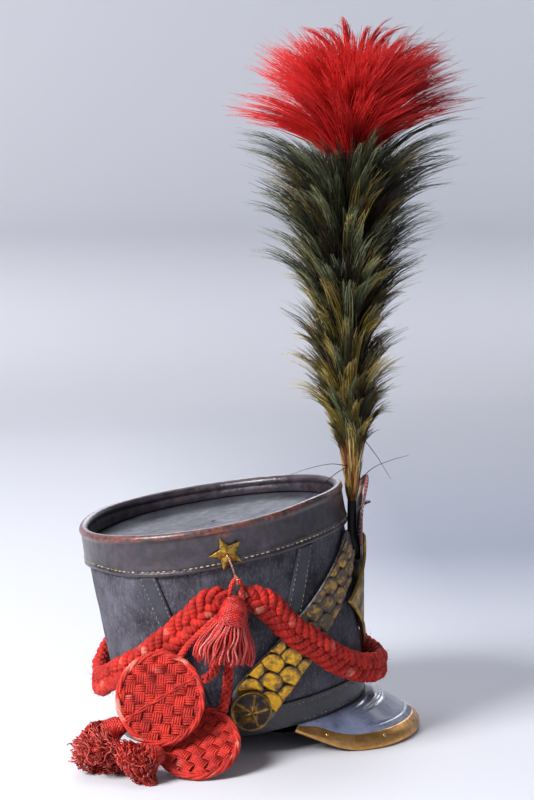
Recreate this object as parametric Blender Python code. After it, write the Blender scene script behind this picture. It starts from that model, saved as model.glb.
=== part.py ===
"""Felt and leather shako with cap lines and a feather plume, resting tilted back on its rear edge and peak."""
import math

import bmesh
import bpy
from mathutils import Vector

MM = 0.001

# The hat's own frame: x forward, y to the wearer's left, h up from the plane of the bottom edge.
HAT_HEIGHT = 190.6
BOTTOM_LENGTH = 210.4
BOTTOM_WIDTH = 174.4
TOP_LENGTH = 232.8
TOP_WIDTH = 212.2
TOP_FORWARD = 4.66
TOP_NARROWING = 0.027
FLARE_POWER = 1.315
SEGMENTS = 36

# How far the front stands forward of the oval: height, mm at the middle of the front.
FRONT_FULL = [
    (0.0, 7.0),
    (45.0, 9.0),
    (100.0, 7.0),
    (150.0, 2.2),
    (191.0, 0.0),
]

# The pose it rests in: tilted back, its rear edge pressed a little flat.
TILT_DEG = 9.283
REAR_PRESS = 0.8
ORIGIN_X = 36.14

# Sheet thicknesses and the gap kept between pieces.
GAP = 0.4
FELT = 2.5
BAND_LEATHER = 2.2
STRIP_LEATHER = 1.4
STRIP_LIFT = 0.6
PEAK_LEATHER = 2.2
BRASS_SHEET = 0.6
STRAP_LEATHER = 1.5
STRAP_LIFT = 3.0

# Height changes of the top band round the hat: angle from the front, rim lift, lower edge lift.
BAND_LIFT = [
    (-180, 0.0, 1.2),
    (-157, 0.2, 2.6),
    (-135, 0.3, -1.2),
    (-110, 0.0, -2.8),
    (-80, 0.2, -1.2),
    (-60, 1.4, -0.2),
    (-42, 2.8, 0.8),
    (-20, 1.6, 0.9),
    (0, 0.8, 0.8),
    (30, -0.4, 0.4),
    (60, -1.8, 0.0),
    (90, -1.9, -1.0),
    (120, -0.4, -1.4),
    (150, 1.4, 0.4),
    (180, 0.0, 1.2),
]
BAND_DEPTH = 35.0
LIP_DEPTH = 16.2
ROLL = 3.4
BAND_LEAN = 1.8

# Leather strips on the sides: angle at the top, middle and bottom, from the front.
CHEVRON_FRONT = [(152.0, 51.6), (110.0, 59.5), (22.6, 76.0)]
CHEVRON_REAR = [(152.0, 125.4), (106.0, 119.6), (22.6, 108.5)]
CHEVRON_WIDTH = 16.0
LOWER_BAND_HEIGHT = 22.0

# Chin strap, folded up to the front: angle from the front, height, width.
STRAP_PATH = [
    (90.0, 19.0, 40.0),
    (87.4, 24.1, 42.0),
    (81.0, 37.5, 42.0),
    (70.0, 56.3, 39.5),
    (59.6, 73.7, 35.5),
    (47.7, 92.7, 31.5),
    (31.7, 117.6, 28.0),
    (20.5, 135.0, 25.0),
    (13.5, 149.0, 22.0),
]
SCALE_ROWS = 12
SCALE_LOBE = 7.0
SCALE_STEP = 1.1

# Side fittings: angle from the front, height.
BOSS_AT = (87.4, 24.1)
BOSS_RADIUS = 18.0
STAR_AT = (88.5, 166.2)
STAR_RADIUS = 16.0
STAR_INNER = 7.0
STAR_TURN_DEG = 18.0

# Outer edge of the peak on one side of the middle: share of the way round, x, y, height.
PEAK_EDGE = [
    (0.0, 162.0, 0.0, 0.0),
    (0.134, 157.6, 23.0, 0.0),
    (0.264, 149.0, 44.0, 0.0),
    (0.384, 137.3, 61.5, 0.0),
    (0.491, 124.0, 75.0, 0.0),
    (0.59, 109.5, 83.4, 0.0),
    (0.67, 96.0, 87.4, 0.0),
    (0.76, 80.0, 89.3, 3.2),
    (0.863, 63.0, 89.0, 9.3),
    (1.0, 41.5, 87.5, 17.8),
]
PEAK_SPAN_DEG = 66.0
PEAK_STEPS = 18
PEAK_BULGE = 7.0
TRIM_WIDTH = 12.5
TRIM_UNDER = 5.0
TRIM_GAP = 0.55

# Front plate, cockade and plume, in the resting frame.
PLATE_X = 110.2
PLATE_Z = 125.0
PLATE_HALF_HEIGHT = 51.5
PLATE_HALF_WIDTH = 50.0
PLATE_BEND = 72.0
COCKADE_AT = (108.9, 197.0)
COCKADE_RADIUS = 31.5
COCKADE_HOLE = 6.8
PLUME_X = 100.4
PLUME_BOW = 7.0
SOCKET_RADIUS = 4.0

# Dark feathers: height where a tier leaves the quill, height and reach of its tips.
GREEN_TIERS = [
    (249.0, 262.0, 17.0),
    (257.0, 284.0, 31.0),
    (272.0, 312.0, 45.0),
    (294.0, 346.0, 52.0),
    (322.0, 380.0, 56.0),
    (352.0, 411.0, 63.0),
    (382.0, 448.0, 77.0),
    (414.0, 484.0, 90.0),
    (446.0, 516.0, 100.0),
    (474.0, 538.0, 109.0),
]
RED_TIERS = [
    (513.0, 562.0, 113.0),
    (518.0, 588.0, 95.0),
    (524.0, 607.0, 76.0),
    (540.0, 621.0, 50.0),
    (556.0, 631.0, 24.0),
]

# Locks and the hollows between them: share of a tier's rise, share of its reach.
GREEN_LOCK = [(1.0, 1.0), (0.66, 0.52)]
GREEN_VALLEY = [(0.42, 0.46), (0.58, 0.36)]
RED_LOCK = [(1.0, 1.0), (0.62, 0.62)]
RED_VALLEY = [(0.78, 0.78), (0.56, 0.56)]

# Plaited cords: angle from the front, height, distance of the middle from the felt.
FESTOON_FRONT = [
    (86.6, 127.5, 12.5),
    (83.6, 127.0, 13.5),
    (79.4, 123.5, 15.0),
    (74.7, 113.2, 15.0),
    (70.1, 99.0, 15.0),
    (64.9, 84.3, 15.5),
    (58.6, 72.4, 15.5),
    (52.7, 59.6, 16.0),
    (45.7, 47.9, 16.0),
    (38.7, 39.3, 16.0),
    (32.2, 33.3, 16.5),
    (20.7, 26.7, 16.5),
    (0.0, 21.0, 16.5),
]
FESTOON_REAR = [
    (90.0, 128.0, 12.5),
    (94.9, 130.0, 13.0),
    (99.7, 125.5, 13.5),
    (104.5, 116.5, 13.0),
    (110.1, 108.3, 13.0),
    (115.0, 101.0, 13.0),
    (121.1, 93.6, 13.0),
    (127.7, 85.8, 12.5),
    (136.6, 76.6, 12.5),
    (147.3, 68.0, 12.5),
    (159.5, 59.5, 12.5),
    (170.0, 53.0, 12.5),
    (180.0, 50.0, 12.5),
]
FESTOON_HALF_WIDTH = 12.2
FESTOON_HALF_DEPTH = 6.2
PLAIT_PITCH = 18.0

# Middle lines of the twisted stems and the tassels: x, y, z in the resting frame.
STEM_UPPER_1 = [
    (-28.4, -121.3, 130.0),
    (-36.0, -121.0, 124.0),
    (-40.5, -119.5, 119.0),
    (-48.9, -115.6, 109.9),
    (-55.0, -114.8, 103.0),
    (-61.2, -117.15, 94.9),
]
STEM_UPPER_2 = [
    (-18.6, -108.6, 135.0),
    (-20.5, -107.0, 114.0),
    (-25.0, -106.5, 100.0),
    (-28.0, -109.0, 91.0),
    (-30.5, -114.5, 84.5),
    (-34.0, -121.0, 80.5),
    (-42.0, -128.5, 77.3),
]
STEM_LOWER = [
    (-8.0, -108.6, 134.7),
    (-10.0, -107.5, 112.0),
    (-15.0, -106.0, 95.0),
    (-18.5, -105.3, 80.0),
    (-19.5, -106.5, 68.0),
    (-21.3, -109.0, 57.0),
    (-24.8, -115.25, 45.5),
]
SIDE_TASSEL_AXIS = [
    (-15.5, -129.0, 145.5),
    (-17.0, -129.3, 130.0),
    (-19.5, -129.0, 112.0),
    (-22.0, -128.5, 88.5),
]
FLOOR_TASSEL_1_AXIS = [
    (-109.3, -134.0, 40.4),
    (-117.5, -131.0, 37.5),
    (-125.5, -133.0, 31.0),
    (-130.5, -139.5, 19.0),
    (-134.0, -148.0, 7.0),
]
FLOOR_TASSEL_2_AXIS = [
    (-78.9, -152.8, 20.1),
    (-88.5, -158.5, 20.5),
    (-96.0, -162.0, 15.5),
    (-104.0, -166.5, 6.5),
]


def smooth_row(table, key):
    """Row of a table at a key between its rows, on a smooth curve through them."""
    keys = [row[0] for row in table]
    count = len(table)
    rising = keys[-1] > keys[0]
    if not rising:
        return smooth_row(table[::-1], key)
    key = min(max(key, keys[0]), keys[-1])
    i = 0
    while i < count - 2 and key > keys[i + 1]:
        i += 1
    span = keys[i + 1] - keys[i]
    f = (key - keys[i]) / span
    values = []
    for column in range(1, len(table[0])):
        here = table[i][column]
        there = table[i + 1][column]
        before = table[max(i - 1, 0)]
        after = table[min(i + 2, count - 1)]
        slope_here = (there - before[column]) / (keys[i + 1] - before[0])
        slope_there = (after[column] - here) / (after[0] - keys[i])
        bend_in = slope_here * span
        bend_out = slope_there * span
        a = 2 * here - 2 * there + bend_in + bend_out
        b = 3 * there - 3 * here - 2 * bend_in - bend_out
        values.append(((a * f + b) * f + bend_in) * f + here)
    return values


def smooth_path(points, count):
    """Points evenly spread along a smooth curve through the given points."""
    keyed = []
    run = 0.0
    for i, point in enumerate(points):
        if i:
            run += (Vector(point) - Vector(points[i - 1])).length
        keyed.append((run, *point))
    return [Vector(smooth_row(keyed, run * i / (count - 1))) for i in range(count)]


def rest(x, y, h):
    """A point of the hat's frame in the resting frame, in mm."""
    tilt = math.radians(TILT_DEG)
    lift = (BOTTOM_LENGTH / 2 + 1.9) * math.sin(tilt) - REAR_PRESS
    return Vector((
        x * math.cos(tilt) - h * math.sin(tilt),
        y,
        x * math.sin(tilt) + h * math.cos(tilt) + lift,
    ))


def felt_axes(h):
    """Half length, half width, forward shift and narrowing of the felt's outside at a height."""
    share = min(max(h / HAT_HEIGHT, 0.0), 1.05) ** FLARE_POWER
    length = BOTTOM_LENGTH + (TOP_LENGTH - BOTTOM_LENGTH) * share
    width = BOTTOM_WIDTH + (TOP_WIDTH - BOTTOM_WIDTH) * share
    return length / 2, width / 2, TOP_FORWARD * share, TOP_NARROWING * share


def crease(angle, h):
    """Soft upright folds of the old felt, fading towards both bands."""
    a = math.radians(angle)
    fade = math.sin(math.pi * min(max(h / 160.0, 0.0), 1.0))
    wave = 0.45 * math.sin(5 * a + 0.8) + 0.35 * math.sin(9 * a - 0.4) + 0.25 * math.sin(13 * a)
    return wave * fade


def skin_local(angle, h, off):
    """Point of the hat's frame standing off the felt's outside by off mm."""
    a = math.radians(angle)
    half_length, half_width, shift, narrow = felt_axes(h)
    c = math.cos(a)
    s = math.sin(a)
    nx = c / half_length
    ny = s / half_width
    n = math.hypot(nx, ny)
    out = off + crease(angle, h)
    fore = smooth_row(FRONT_FULL, h)[0] * max(c, 0.0) ** 2
    x = half_length * c + shift + fore + out * nx / n
    y = half_width * s * (1 - narrow * c) + out * ny / n
    return x, y, h


def skin(angle, h, off):
    """The same point in the resting frame."""
    return rest(*skin_local(angle, h, off))


def outward(angle, h):
    """Unit normal of the felt's outside."""
    round_ = skin(angle + 4.0, h, 0.0) - skin(angle - 4.0, h, 0.0)
    rise = skin(angle, h + 8.0, 0.0) - skin(angle, h - 8.0, 0.0)
    return round_.cross(rise).normalized()


def band_lift(angle):
    """Rim lift and lower edge lift of the top band at an angle."""
    turned = (angle + 180.0) % 360.0 - 180.0
    return smooth_row(BAND_LIFT, turned)


def girth(angle):
    """Millimetres round the side per degree."""
    a = math.radians(angle)
    return math.hypot(109.0 * math.sin(a), 95.0 * math.cos(a)) * math.pi / 180


def new_material(name, color, metallic, roughness):
    mat = bpy.data.materials.new(name)
    mat.use_nodes = True
    shader = mat.node_tree.nodes["Principled BSDF"]
    shader.inputs["Base Color"].default_value = (*color, 1.0)
    shader.inputs["Metallic"].default_value = metallic
    shader.inputs["Roughness"].default_value = roughness
    return mat


def finish_object(obj, material):
    obj.data.materials.append(material)
    bpy.context.scene.collection.objects.link(obj)
    return obj


def mesh_object(name, points, faces, material, mirrored=False, smooth=True):
    """One closed body from points in mm of the resting frame."""
    sign = -1.0 if mirrored else 1.0
    verts = [((p[0] - ORIGIN_X) * MM, sign * p[1] * MM, p[2] * MM) for p in points]
    mesh = bpy.data.meshes.new(name)
    mesh.from_pydata(verts, [], faces)
    shape = bmesh.new()
    shape.from_mesh(mesh)
    bmesh.ops.recalc_face_normals(shape, faces=shape.faces)
    shape.to_mesh(mesh)
    shape.free()
    for polygon in mesh.polygons:
        polygon.use_smooth = smooth
    mesh.update()
    return finish_object(bpy.data.objects.new(name, mesh), material)


def ring_body(name, profile, material, angles=None, floor=None):
    """Body of one closed profile carried round the hat; profile gives (off, h) rows at an angle."""
    angles = angles or [i * 360.0 / SEGMENTS for i in range(SEGMENTS)]
    points = []
    for angle in angles:
        for off, h in profile(angle):
            point = skin(angle, h, off)
            if floor is not None:
                point.z = max(point.z, floor)
            points.append(point)
    rows = len(profile(0.0))
    faces = []
    for i in range(len(angles)):
        k = (i + 1) % len(angles)
        for j in range(rows):
            m = (j + 1) % rows
            faces.append((i * rows + j, k * rows + j, k * rows + m, i * rows + m))
    return mesh_object(name, points, faces, material)


def loft_body(name, rings, material, mirrored=False, smooth=True):
    """Body through rings of equal count, closed at both ends."""
    count = len(rings[0])
    points = [p for ring in rings for p in ring]
    faces = []
    for i in range(len(rings) - 1):
        for j in range(count):
            m = (j + 1) % count
            faces.append((i * count + j, i * count + m, (i + 1) * count + m, (i + 1) * count + j))
    faces.append(tuple(range(count))[::-1])
    last = (len(rings) - 1) * count
    faces.append(tuple(range(last, last + count)))
    return mesh_object(name, points, faces, material, mirrored, smooth)


def grid_body(name, outer, inner, material, mirrored=False, smooth=True, cut=False):
    """Sheet between two grids of equal size; cut splits both sides along the same diagonals."""
    rows = len(outer)
    cols = len(outer[0])
    points = [p for row in outer for p in row] + [p for row in inner for p in row]
    base = rows * cols
    faces = []
    for i in range(rows - 1):
        for j in range(cols - 1):
            quad = (i * cols + j, i * cols + j + 1, (i + 1) * cols + j + 1, (i + 1) * cols + j)
            parts = [quad[:2] + quad[3:], quad[1:]] if cut else [quad]
            for face in parts:
                faces.append(face)
                faces.append(tuple(base + v for v in face[::-1]))
    rim = [j for j in range(cols)]
    rim += [i * cols + cols - 1 for i in range(1, rows)]
    rim += [(rows - 1) * cols + j for j in range(cols - 2, -1, -1)]
    rim += [i * cols for i in range(rows - 2, 0, -1)]
    for k, v in enumerate(rim):
        w = rim[(k + 1) % len(rim)]
        faces.append((v, base + v, base + w, w))
    return mesh_object(name, points, faces, material, mirrored, smooth)


def add_union(obj, cutter):
    """Fuses a helper body into an object."""
    cutter.hide_render = True
    cutter.display_type = "WIRE"
    fuse = obj.modifiers.new("fuse " + cutter.name, "BOOLEAN")
    fuse.operation = "UNION"
    fuse.solver = "EXACT"
    fuse.object = cutter


def tube_rings(path, radius, sides, up=Vector((0.0, 0.0, 1.0))):
    """Round rings along a path."""
    rings = []
    for i, point in enumerate(path):
        ahead = path[min(i + 1, len(path) - 1)]
        behind = path[max(i - 1, 0)]
        along = (ahead - behind).normalized()
        across = along.cross(up)
        if across.length < 0.2:
            across = along.cross(Vector((1.0, 0.0, 0.0)))
        across.normalize()
        over = across.cross(along)
        ring = []
        for k in range(sides):
            a = 2 * math.pi * k / sides
            ring.append(point + radius * (math.cos(a) * across + math.sin(a) * over))
        rings.append(ring)
    return rings


def cord_object(name, points, radius, count, material, mirrored=False):
    """Round cord as a bevelled curve."""
    sign = -1.0 if mirrored else 1.0
    curve = bpy.data.curves.new(name, "CURVE")
    curve.dimensions = "3D"
    curve.bevel_depth = radius * MM
    curve.bevel_resolution = 2
    curve.use_fill_caps = True
    spline = curve.splines.new("POLY")
    path = smooth_path(points, count)
    spline.points.add(count - 1)
    for i, p in enumerate(path):
        spline.points[i].co = ((p.x - ORIGIN_X) * MM, sign * p.y * MM, p.z * MM, 1.0)
    spline.use_smooth = True
    return finish_object(bpy.data.objects.new(name, curve), material)


def lathe_rings(centre, axis, profile, sides, shape=None):
    """Rings about an axis; profile rows are (along, radius); shape scales a ring by angle and row."""
    axis = axis.normalized()
    side = axis.cross(Vector((0.0, 0.0, 1.0)))
    if side.length < 0.2:
        side = Vector((1.0, 0.0, 0.0))
    side.normalize()
    third = axis.cross(side)
    rings = []
    for row, (along, radius) in enumerate(profile):
        ring = []
        for k in range(sides):
            a = 2 * math.pi * k / sides
            r = radius * (shape(a, row) if shape else 1.0)
            ring.append(centre + axis * along + r * (math.cos(a) * side + math.sin(a) * third))
        rings.append(ring)
    return rings


def crown_body():
    top = HAT_HEIGHT - 8.4
    heights = [1.0, 38.0, 75.0, 112.0, 150.0, top]

    def profile(angle):
        outside = [(0.0, h) for h in heights]
        inside = [(-FELT, h) for h in (top, 100.0, 1.0)]
        return outside + inside

    felt = new_material("grey_black_felt", (0.045, 0.046, 0.052), 0.0, 0.95)
    return ring_body("crown_body", profile, felt)


def top_band():
    def profile(angle):
        rim, edge = band_lift(angle)
        top = HAT_HEIGHT + rim
        low = HAT_HEIGHT - BAND_DEPTH + edge
        face = GAP + BAND_LEATHER
        lip = -FELT - GAP
        return [
            (GAP, low),
            (face + 0.9, low),
            (face + 0.9, low + 3.0),
            (face, low + 5.5),
            (face - BAND_LEAN, top - ROLL),
            (face - BAND_LEAN - 1.8, top - 0.4),
            (lip + 1.0, top),
            (lip - 1.6, top - ROLL),
            (lip - 1.6, HAT_HEIGHT - LIP_DEPTH),
            (lip, HAT_HEIGHT - LIP_DEPTH),
            (lip, HAT_HEIGHT - 7.2),
            (GAP, HAT_HEIGHT - 7.2),
        ]

    leather = new_material("black_band_leather", (0.035, 0.034, 0.038), 0.0, 0.42)
    return ring_body("top_band", profile, leather)


def crown_disc():
    """Sunken leather top, a little wavy, with a low hump over the middle."""
    edge = -FELT - GAP
    level = HAT_HEIGHT - LIP_DEPTH - GAP
    shares = [1.0, 0.6, 0.14]
    thick = 2.0

    def surface(angle, share, drop):
        x, y, h = skin_local(angle, level, edge)
        a = math.radians(angle)
        dip = 0.9 * math.sin(2 * a + 0.6) * share * (1 - share) * 4
        hump = 2.4 * math.exp(-((share / 0.16) ** 2))
        sag = -2.0 * (1 - share ** 4)
        return rest(TOP_FORWARD + (x - TOP_FORWARD) * share, y * share, h + dip + hump + sag - drop)

    angles = [i * 360.0 / SEGMENTS for i in range(SEGMENTS)]
    rings = [[surface(a, s, 0.0) for a in angles] for s in shares[::-1]]
    rings += [[surface(a, s, thick) for a in angles] for s in (1.0, 0.14)]
    leather = new_material("crown_top_leather", (0.07, 0.075, 0.085), 0.0, 0.5)
    return loft_body("crown_disc", rings, leather)


def lower_band():
    top = LOWER_BAND_HEIGHT

    def profile(angle):
        return [(GAP, 0.0), (1.9, 0.0), (1.9, top), (GAP, top)]

    leather = new_material("lower_band_leather", (0.03, 0.03, 0.035), 0.0, 0.5)
    return ring_body("lower_band", profile, leather, floor=0.0)


def chevron(name, table, mirrored):
    outer = []
    inner = []
    foot = table[-1][0]
    for i in range(7):
        share = i / 6
        angle = smooth_row(table, foot + (table[0][0] - foot) * share)[0]
        edge = band_lift(angle if mirrored else -angle)[1]
        h = foot + (HAT_HEIGHT - BAND_DEPTH + edge - GAP - foot) * share
        row_out = []
        row_in = []
        for w in (-1.0, 0.0, 1.0):
            turn = angle + w * CHEVRON_WIDTH / 2 / girth(angle)
            row_out.append(skin(-turn, h, STRIP_LIFT + STRIP_LEATHER))
            row_in.append(skin(-turn, h, STRIP_LIFT))
        outer.append(row_out)
        inner.append(row_in)
    leather = new_material(name + "_leather", (0.04, 0.042, 0.05), 0.0, 0.5)
    return grid_body(name, outer, inner, leather, mirrored)


def strap_lengths():
    """Rows of (run, angle, height, width) along the chin strap."""
    rows = []
    run = 0.0
    for i, (angle, h, width) in enumerate(STRAP_PATH):
        if i:
            before = STRAP_PATH[i - 1]
            run += math.hypot((angle - before[0]) * girth(angle), h - before[1])
        rows.append((run, angle, h, width))
    return rows


def strap_point(rows, run, across, off):
    """Point on the chin strap: along it, across it from -1 to 1, and off the felt."""
    angle, h, width = smooth_row(rows, run)
    ahead = smooth_row(rows, run + 1.0)
    behind = smooth_row(rows, run - 1.0)
    dx = (ahead[0] - behind[0]) * girth(angle)
    dh = ahead[1] - behind[1]
    length = math.hypot(dx, dh)
    turn = angle + across * width / 2 * dh / length / girth(angle)
    rise = h - across * width / 2 * dx / length
    return skin(-turn, rise, off)


def chin_strap(name, mirrored):
    rows = strap_lengths()
    total = rows[-1][0]
    base = STRAP_LIFT
    outer = []
    inner = []
    for i in range(11):
        run = total * i / 10
        squeeze = 0.72 if i in (0, 10) else 1.0
        line = (-squeeze, -0.5, 0.0, 0.5, squeeze)
        outer.append([strap_point(rows, run, w, base + STRAP_LEATHER) for w in line])
        inner.append([strap_point(rows, run, w, base) for w in line])
    leather = new_material(name + "_leather", (0.09, 0.08, 0.075), 0.0, 0.6)
    return grid_body(name, outer, inner, leather, mirrored)


def scale_lobe(across, odd):
    """How far a lobed edge reaches at a place across the strap."""
    shifted = abs(across) if odd else abs(abs(across) - 1.0)
    nearest = abs((shifted % 1.0) - 0.5) / 0.5
    return SCALE_LOBE * math.sqrt(max(0.0, 1.0 - (1.0 - nearest) ** 2)) if not odd else \
        SCALE_LOBE * math.sqrt(max(0.0, 1.0 - nearest ** 2))


def chin_scales(name, mirrored):
    """Overlapping lobed rows; each row lies on the one farther from the boss."""
    rows = strap_lengths()
    total = rows[-1][0]
    first = 23.0
    pitch = (total - first - 4.0) / SCALE_ROWS
    wide = 7
    cols = [0.94 * (2 * i / (wide - 1) - 1) for i in range(wide)]
    base = STRAP_LIFT + STRAP_LEATHER + 0.6
    low = base + 0.9
    lines = [[(first - 9.0, low - 0.4) for _ in cols]]
    for k in range(SCALE_ROWS):
        start = first + pitch * k
        reach = [scale_lobe(w / 0.94, k % 2 == 0) for w in cols]
        lines.append([(start + e, low + SCALE_STEP) for e in reach])
        lines.append([(start + e + 0.5, low) for e in reach])
    lines.append([(total - 1.0, low) for _ in cols])
    points = []
    faces = []
    for line in lines:
        for w, (run, off) in zip(cols, line):
            points.append(strap_point(rows, run, w, off))
    under = len(points)
    for line in lines:
        for j in (0, 3, 6):
            points.append(strap_point(rows, line[j][0], cols[j], base))
    for i in range(len(lines) - 1):
        for j in range(wide - 1):
            faces.append((i * wide + j, i * wide + j + 1, (i + 1) * wide + j + 1, (i + 1) * wide + j))
        for j in range(2):
            u = under + i * 3 + j
            faces.append((u, u + 3, u + 4, u + 1))
        a = under + i * 3
        faces.append((i * wide, (i + 1) * wide, a + 3, a))
        faces.append((i * wide + 6, a + 2, a + 5, (i + 1) * wide + 6))
    for i, flip in ((0, False), (len(lines) - 1, True)):
        a = under + i * 3
        for half in (0, 1):
            row = [i * wide + half * 3 + j for j in range(4)]
            face = row + [a + half + 1, a + half]
            faces.append(tuple(face[::-1] if flip else face))
    brass = new_material(name + "_brass", (0.55, 0.36, 0.10), 1.0, 0.4)
    return mesh_object(name, points, faces, brass, mirrored, smooth=False)


def boss(name, mirrored):
    """Round brass boss: raised rim, shallow rosette and a short shank into the strap."""
    angle, h = BOSS_AT
    axis = outward(-angle, h)
    foot = skin(-angle, h, STRAP_LIFT + STRAP_LEATHER + GAP)
    profile = [
        (0.0, 3.0),
        (4.6, 3.0),
        (4.6, BOSS_RADIUS - 0.6),
        (5.8, BOSS_RADIUS),
        (7.4, BOSS_RADIUS - 0.9),
        (6.6, BOSS_RADIUS - 2.6),
        (8.0, BOSS_RADIUS - 6.0),
        (9.6, 6.0),
        (9.0, 3.4),
        (10.6, 1.6),
    ]

    def petals(a, row):
        if row in (6, 7):
            return 1.0 + 0.07 * math.cos(8 * a)
        return 1.0

    brass = new_material(name + "_brass", (0.20, 0.15, 0.09), 1.0, 0.45)
    rings = lathe_rings(foot, axis, profile, 16, petals)
    return loft_body(name, rings, brass, mirrored)


def star_hook(name, mirrored):
    """Five-pointed brass star with the wire hook that carries the cords."""
    angle, h = STAR_AT
    centre = skin(-angle, h, GAP + BAND_LEATHER + 1.4)
    axis = outward(-angle, h)
    up = (skin(-angle, h + 5.0, 3.0) - skin(-angle, h - 5.0, 3.0)).normalized()
    along = up.cross(axis)
    base = []
    brim = []
    for k in range(10):
        a = math.pi * k / 5 - math.radians(STAR_TURN_DEG)
        r = STAR_RADIUS if k % 2 == 0 else STAR_INNER
        flat = centre + r * (math.cos(a) * up + math.sin(a) * along)
        base.append(flat)
        brim.append(flat + axis * (0.8 if k % 2 == 0 else 1.2))
    crown = [centre + axis * 3.6 + 0.06 * (p - centre) for p in brim]
    brass = new_material(name + "_brass", (0.75, 0.50, 0.16), 1.0, 0.32)
    star = loft_body(name, [base, brim, crown], brass, mirrored, smooth=False)
    hook_path = smooth_path([
        tuple(centre + axis * 1.2),
        tuple(centre + axis * 5.2 - up * 1.5 + along * 0.2),
        (-16.4, -113.6, 172.0),
        (-13.6, -112.4, 163.0),
        (-12.8, -113.2, 158.4),
        (-12.8, -116.5, 156.6),
        (-12.8, -120.0, 157.8),
        (-12.8, -121.9, 160.8),
        (-12.8, -122.2, 165.0),
    ], 10)
    wire = loft_body(name + "_wire", tube_rings(hook_path, 1.1, 6), brass, mirrored)
    add_union(star, wire)
    return star


def hook_loop(name, mirrored):
    """Cord loop hanging on the hook."""
    silk = new_material(name + "_wool", (0.52, 0.02, 0.02), 0.0, 0.8)
    path = [
        (-18.4, -117.35, 139.0),
        (-18.4, -117.0, 147.0),
        (-16.8, -116.6, 156.6),
        (-12.8, -116.4, 161.4),
        (-8.8, -116.6, 156.6),
        (-7.2, -117.0, 147.0),
        (-7.2, -117.35, 139.0),
    ]
    return cord_object(name, path, 2.1, 11, silk, mirrored)


def peak_axes(share):
    """Root point and outer edge point of the peak's top before the edge is set down."""
    angle = PEAK_SPAN_DEG * share
    root = skin(angle, -0.5, 2.2)
    x, y, z = smooth_row(PEAK_EDGE, abs(share))
    edge = Vector((x, math.copysign(y, share) if share else 0.0, z))
    return root, edge


def peak_point(share, r, drop):
    """Point on the peak's top: r from 0 at the root to 1 at the edge, which is raised by drop."""
    root, edge = peak_axes(share)
    edge = edge + Vector((0.0, 0.0, drop))
    chord = edge - root
    side = Vector((-chord.y, chord.x, 0.0)).normalized()
    up = chord.cross(side).normalized()
    if up.z < 0:
        up = -up
    bulge = PEAK_BULGE * min(1.0, chord.length / 60.0) ** 1.5
    return root + chord * r + up * bulge * (1 - abs(2 * r - 1) ** 5)


def peak_normal(share, r, drop):
    step = 0.01
    r0 = min(max(r, 0.03), 0.97)
    along = peak_point(share, r0 + step, drop) - peak_point(share, r0 - step, drop)
    round_ = peak_point(share + step, r0, drop) - peak_point(share - step, r0, drop)
    n = along.cross(round_).normalized()
    return n if n.z > 0 else -n


def trim_reach(share):
    """Where the binding starts on the top, and where it ends underneath."""
    root, edge = peak_axes(share)
    length = (edge - root).length
    start = 1.0 - min(TRIM_WIDTH, 0.6 * length) / length
    under = 1.0 - min(TRIM_UNDER, 0.3 * length) / length
    return start, under


def trim_profile(share, drop):
    """Closed outline of the brass binding at one place round the peak."""
    start, under = trim_reach(share)
    on_top = (start, under)
    tip = peak_point(share, 1.0, drop)
    n_tip = peak_normal(share, 0.985, drop)
    back = peak_point(share, 0.93, drop)
    lip = tip - back
    lip = (lip - n_tip * lip.dot(n_tip)).normalized()
    outer = TRIM_GAP + BRASS_SHEET
    result = []
    for r in on_top:
        result.append(peak_point(share, r, drop) + peak_normal(share, r, drop) * outer)
    result.append(tip + n_tip * outer + lip * 0.2)
    result.append(tip + lip * outer - n_tip * 0.4)
    result.append(tip + lip * outer - n_tip * (PEAK_LEATHER - 0.4))
    result.append(tip - n_tip * (PEAK_LEATHER + outer) + lip * 0.2)
    low = peak_point(share, under, drop) - peak_normal(share, under, drop) * (PEAK_LEATHER + outer)
    result.append(low)
    result.append(peak_point(share, under, drop) - peak_normal(share, under, drop) * (PEAK_LEATHER + TRIM_GAP))
    result.append(tip - n_tip * (PEAK_LEATHER + TRIM_GAP) + lip * 0.1)
    result.append(tip + lip * TRIM_GAP - n_tip * (PEAK_LEATHER - 0.2))
    result.append(tip + lip * TRIM_GAP - n_tip * 0.2)
    result.append(tip + n_tip * TRIM_GAP + lip * 0.1)
    for r in on_top[::-1]:
        result.append(peak_point(share, r, drop) + peak_normal(share, r, drop) * TRIM_GAP)
    return result


def set_down(share):
    """Raise of the peak's edge that brings the binding's lowest point to its stated height."""
    wanted = smooth_row(PEAK_EDGE, abs(share))[2]
    drop = 2.0
    for _ in range(6):
        lowest = min(p.z for p in trim_profile(share, drop))
        drop += wanted - lowest
    return drop


def peak():
    shares = [-1.0 + 2.0 * i / PEAK_STEPS for i in range(PEAK_STEPS + 1)]
    outer = []
    inner = []
    for share in shares:
        drop = set_down(share)
        angle = PEAK_SPAN_DEG * share
        top = [skin(angle, -0.45, -2.2)]
        low = [skin(angle, -0.45 - PEAK_LEATHER, -2.2)]
        start, under = trim_reach(share)
        for r in (0.0, start * 0.12, start * 0.5, start, under, 1.0):
            point = peak_point(share, r, drop)
            normal = peak_normal(share, r, drop)
            if r == 0.0:
                normal = (skin(angle, 10.0, 0.0) - skin(angle, 0.0, 0.0)).normalized()
            top.append(point)
            low.append(point - normal * PEAK_LEATHER)
        outer.append(top)
        inner.append(low)
    leather = new_material("peak_leather", (0.05, 0.06, 0.08), 0.0, 0.22)
    return grid_body("peak", outer, inner, leather)


def peak_trim():
    rings = []
    for i in range(PEAK_STEPS + 1):
        share = -1.0 + 2.0 * i / PEAK_STEPS
        rings.append(trim_profile(share, set_down(share)))
    brass = new_material("peak_trim_brass", (0.50, 0.33, 0.12), 1.0, 0.38)
    return loft_body("peak_trim", rings, brass)


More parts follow.
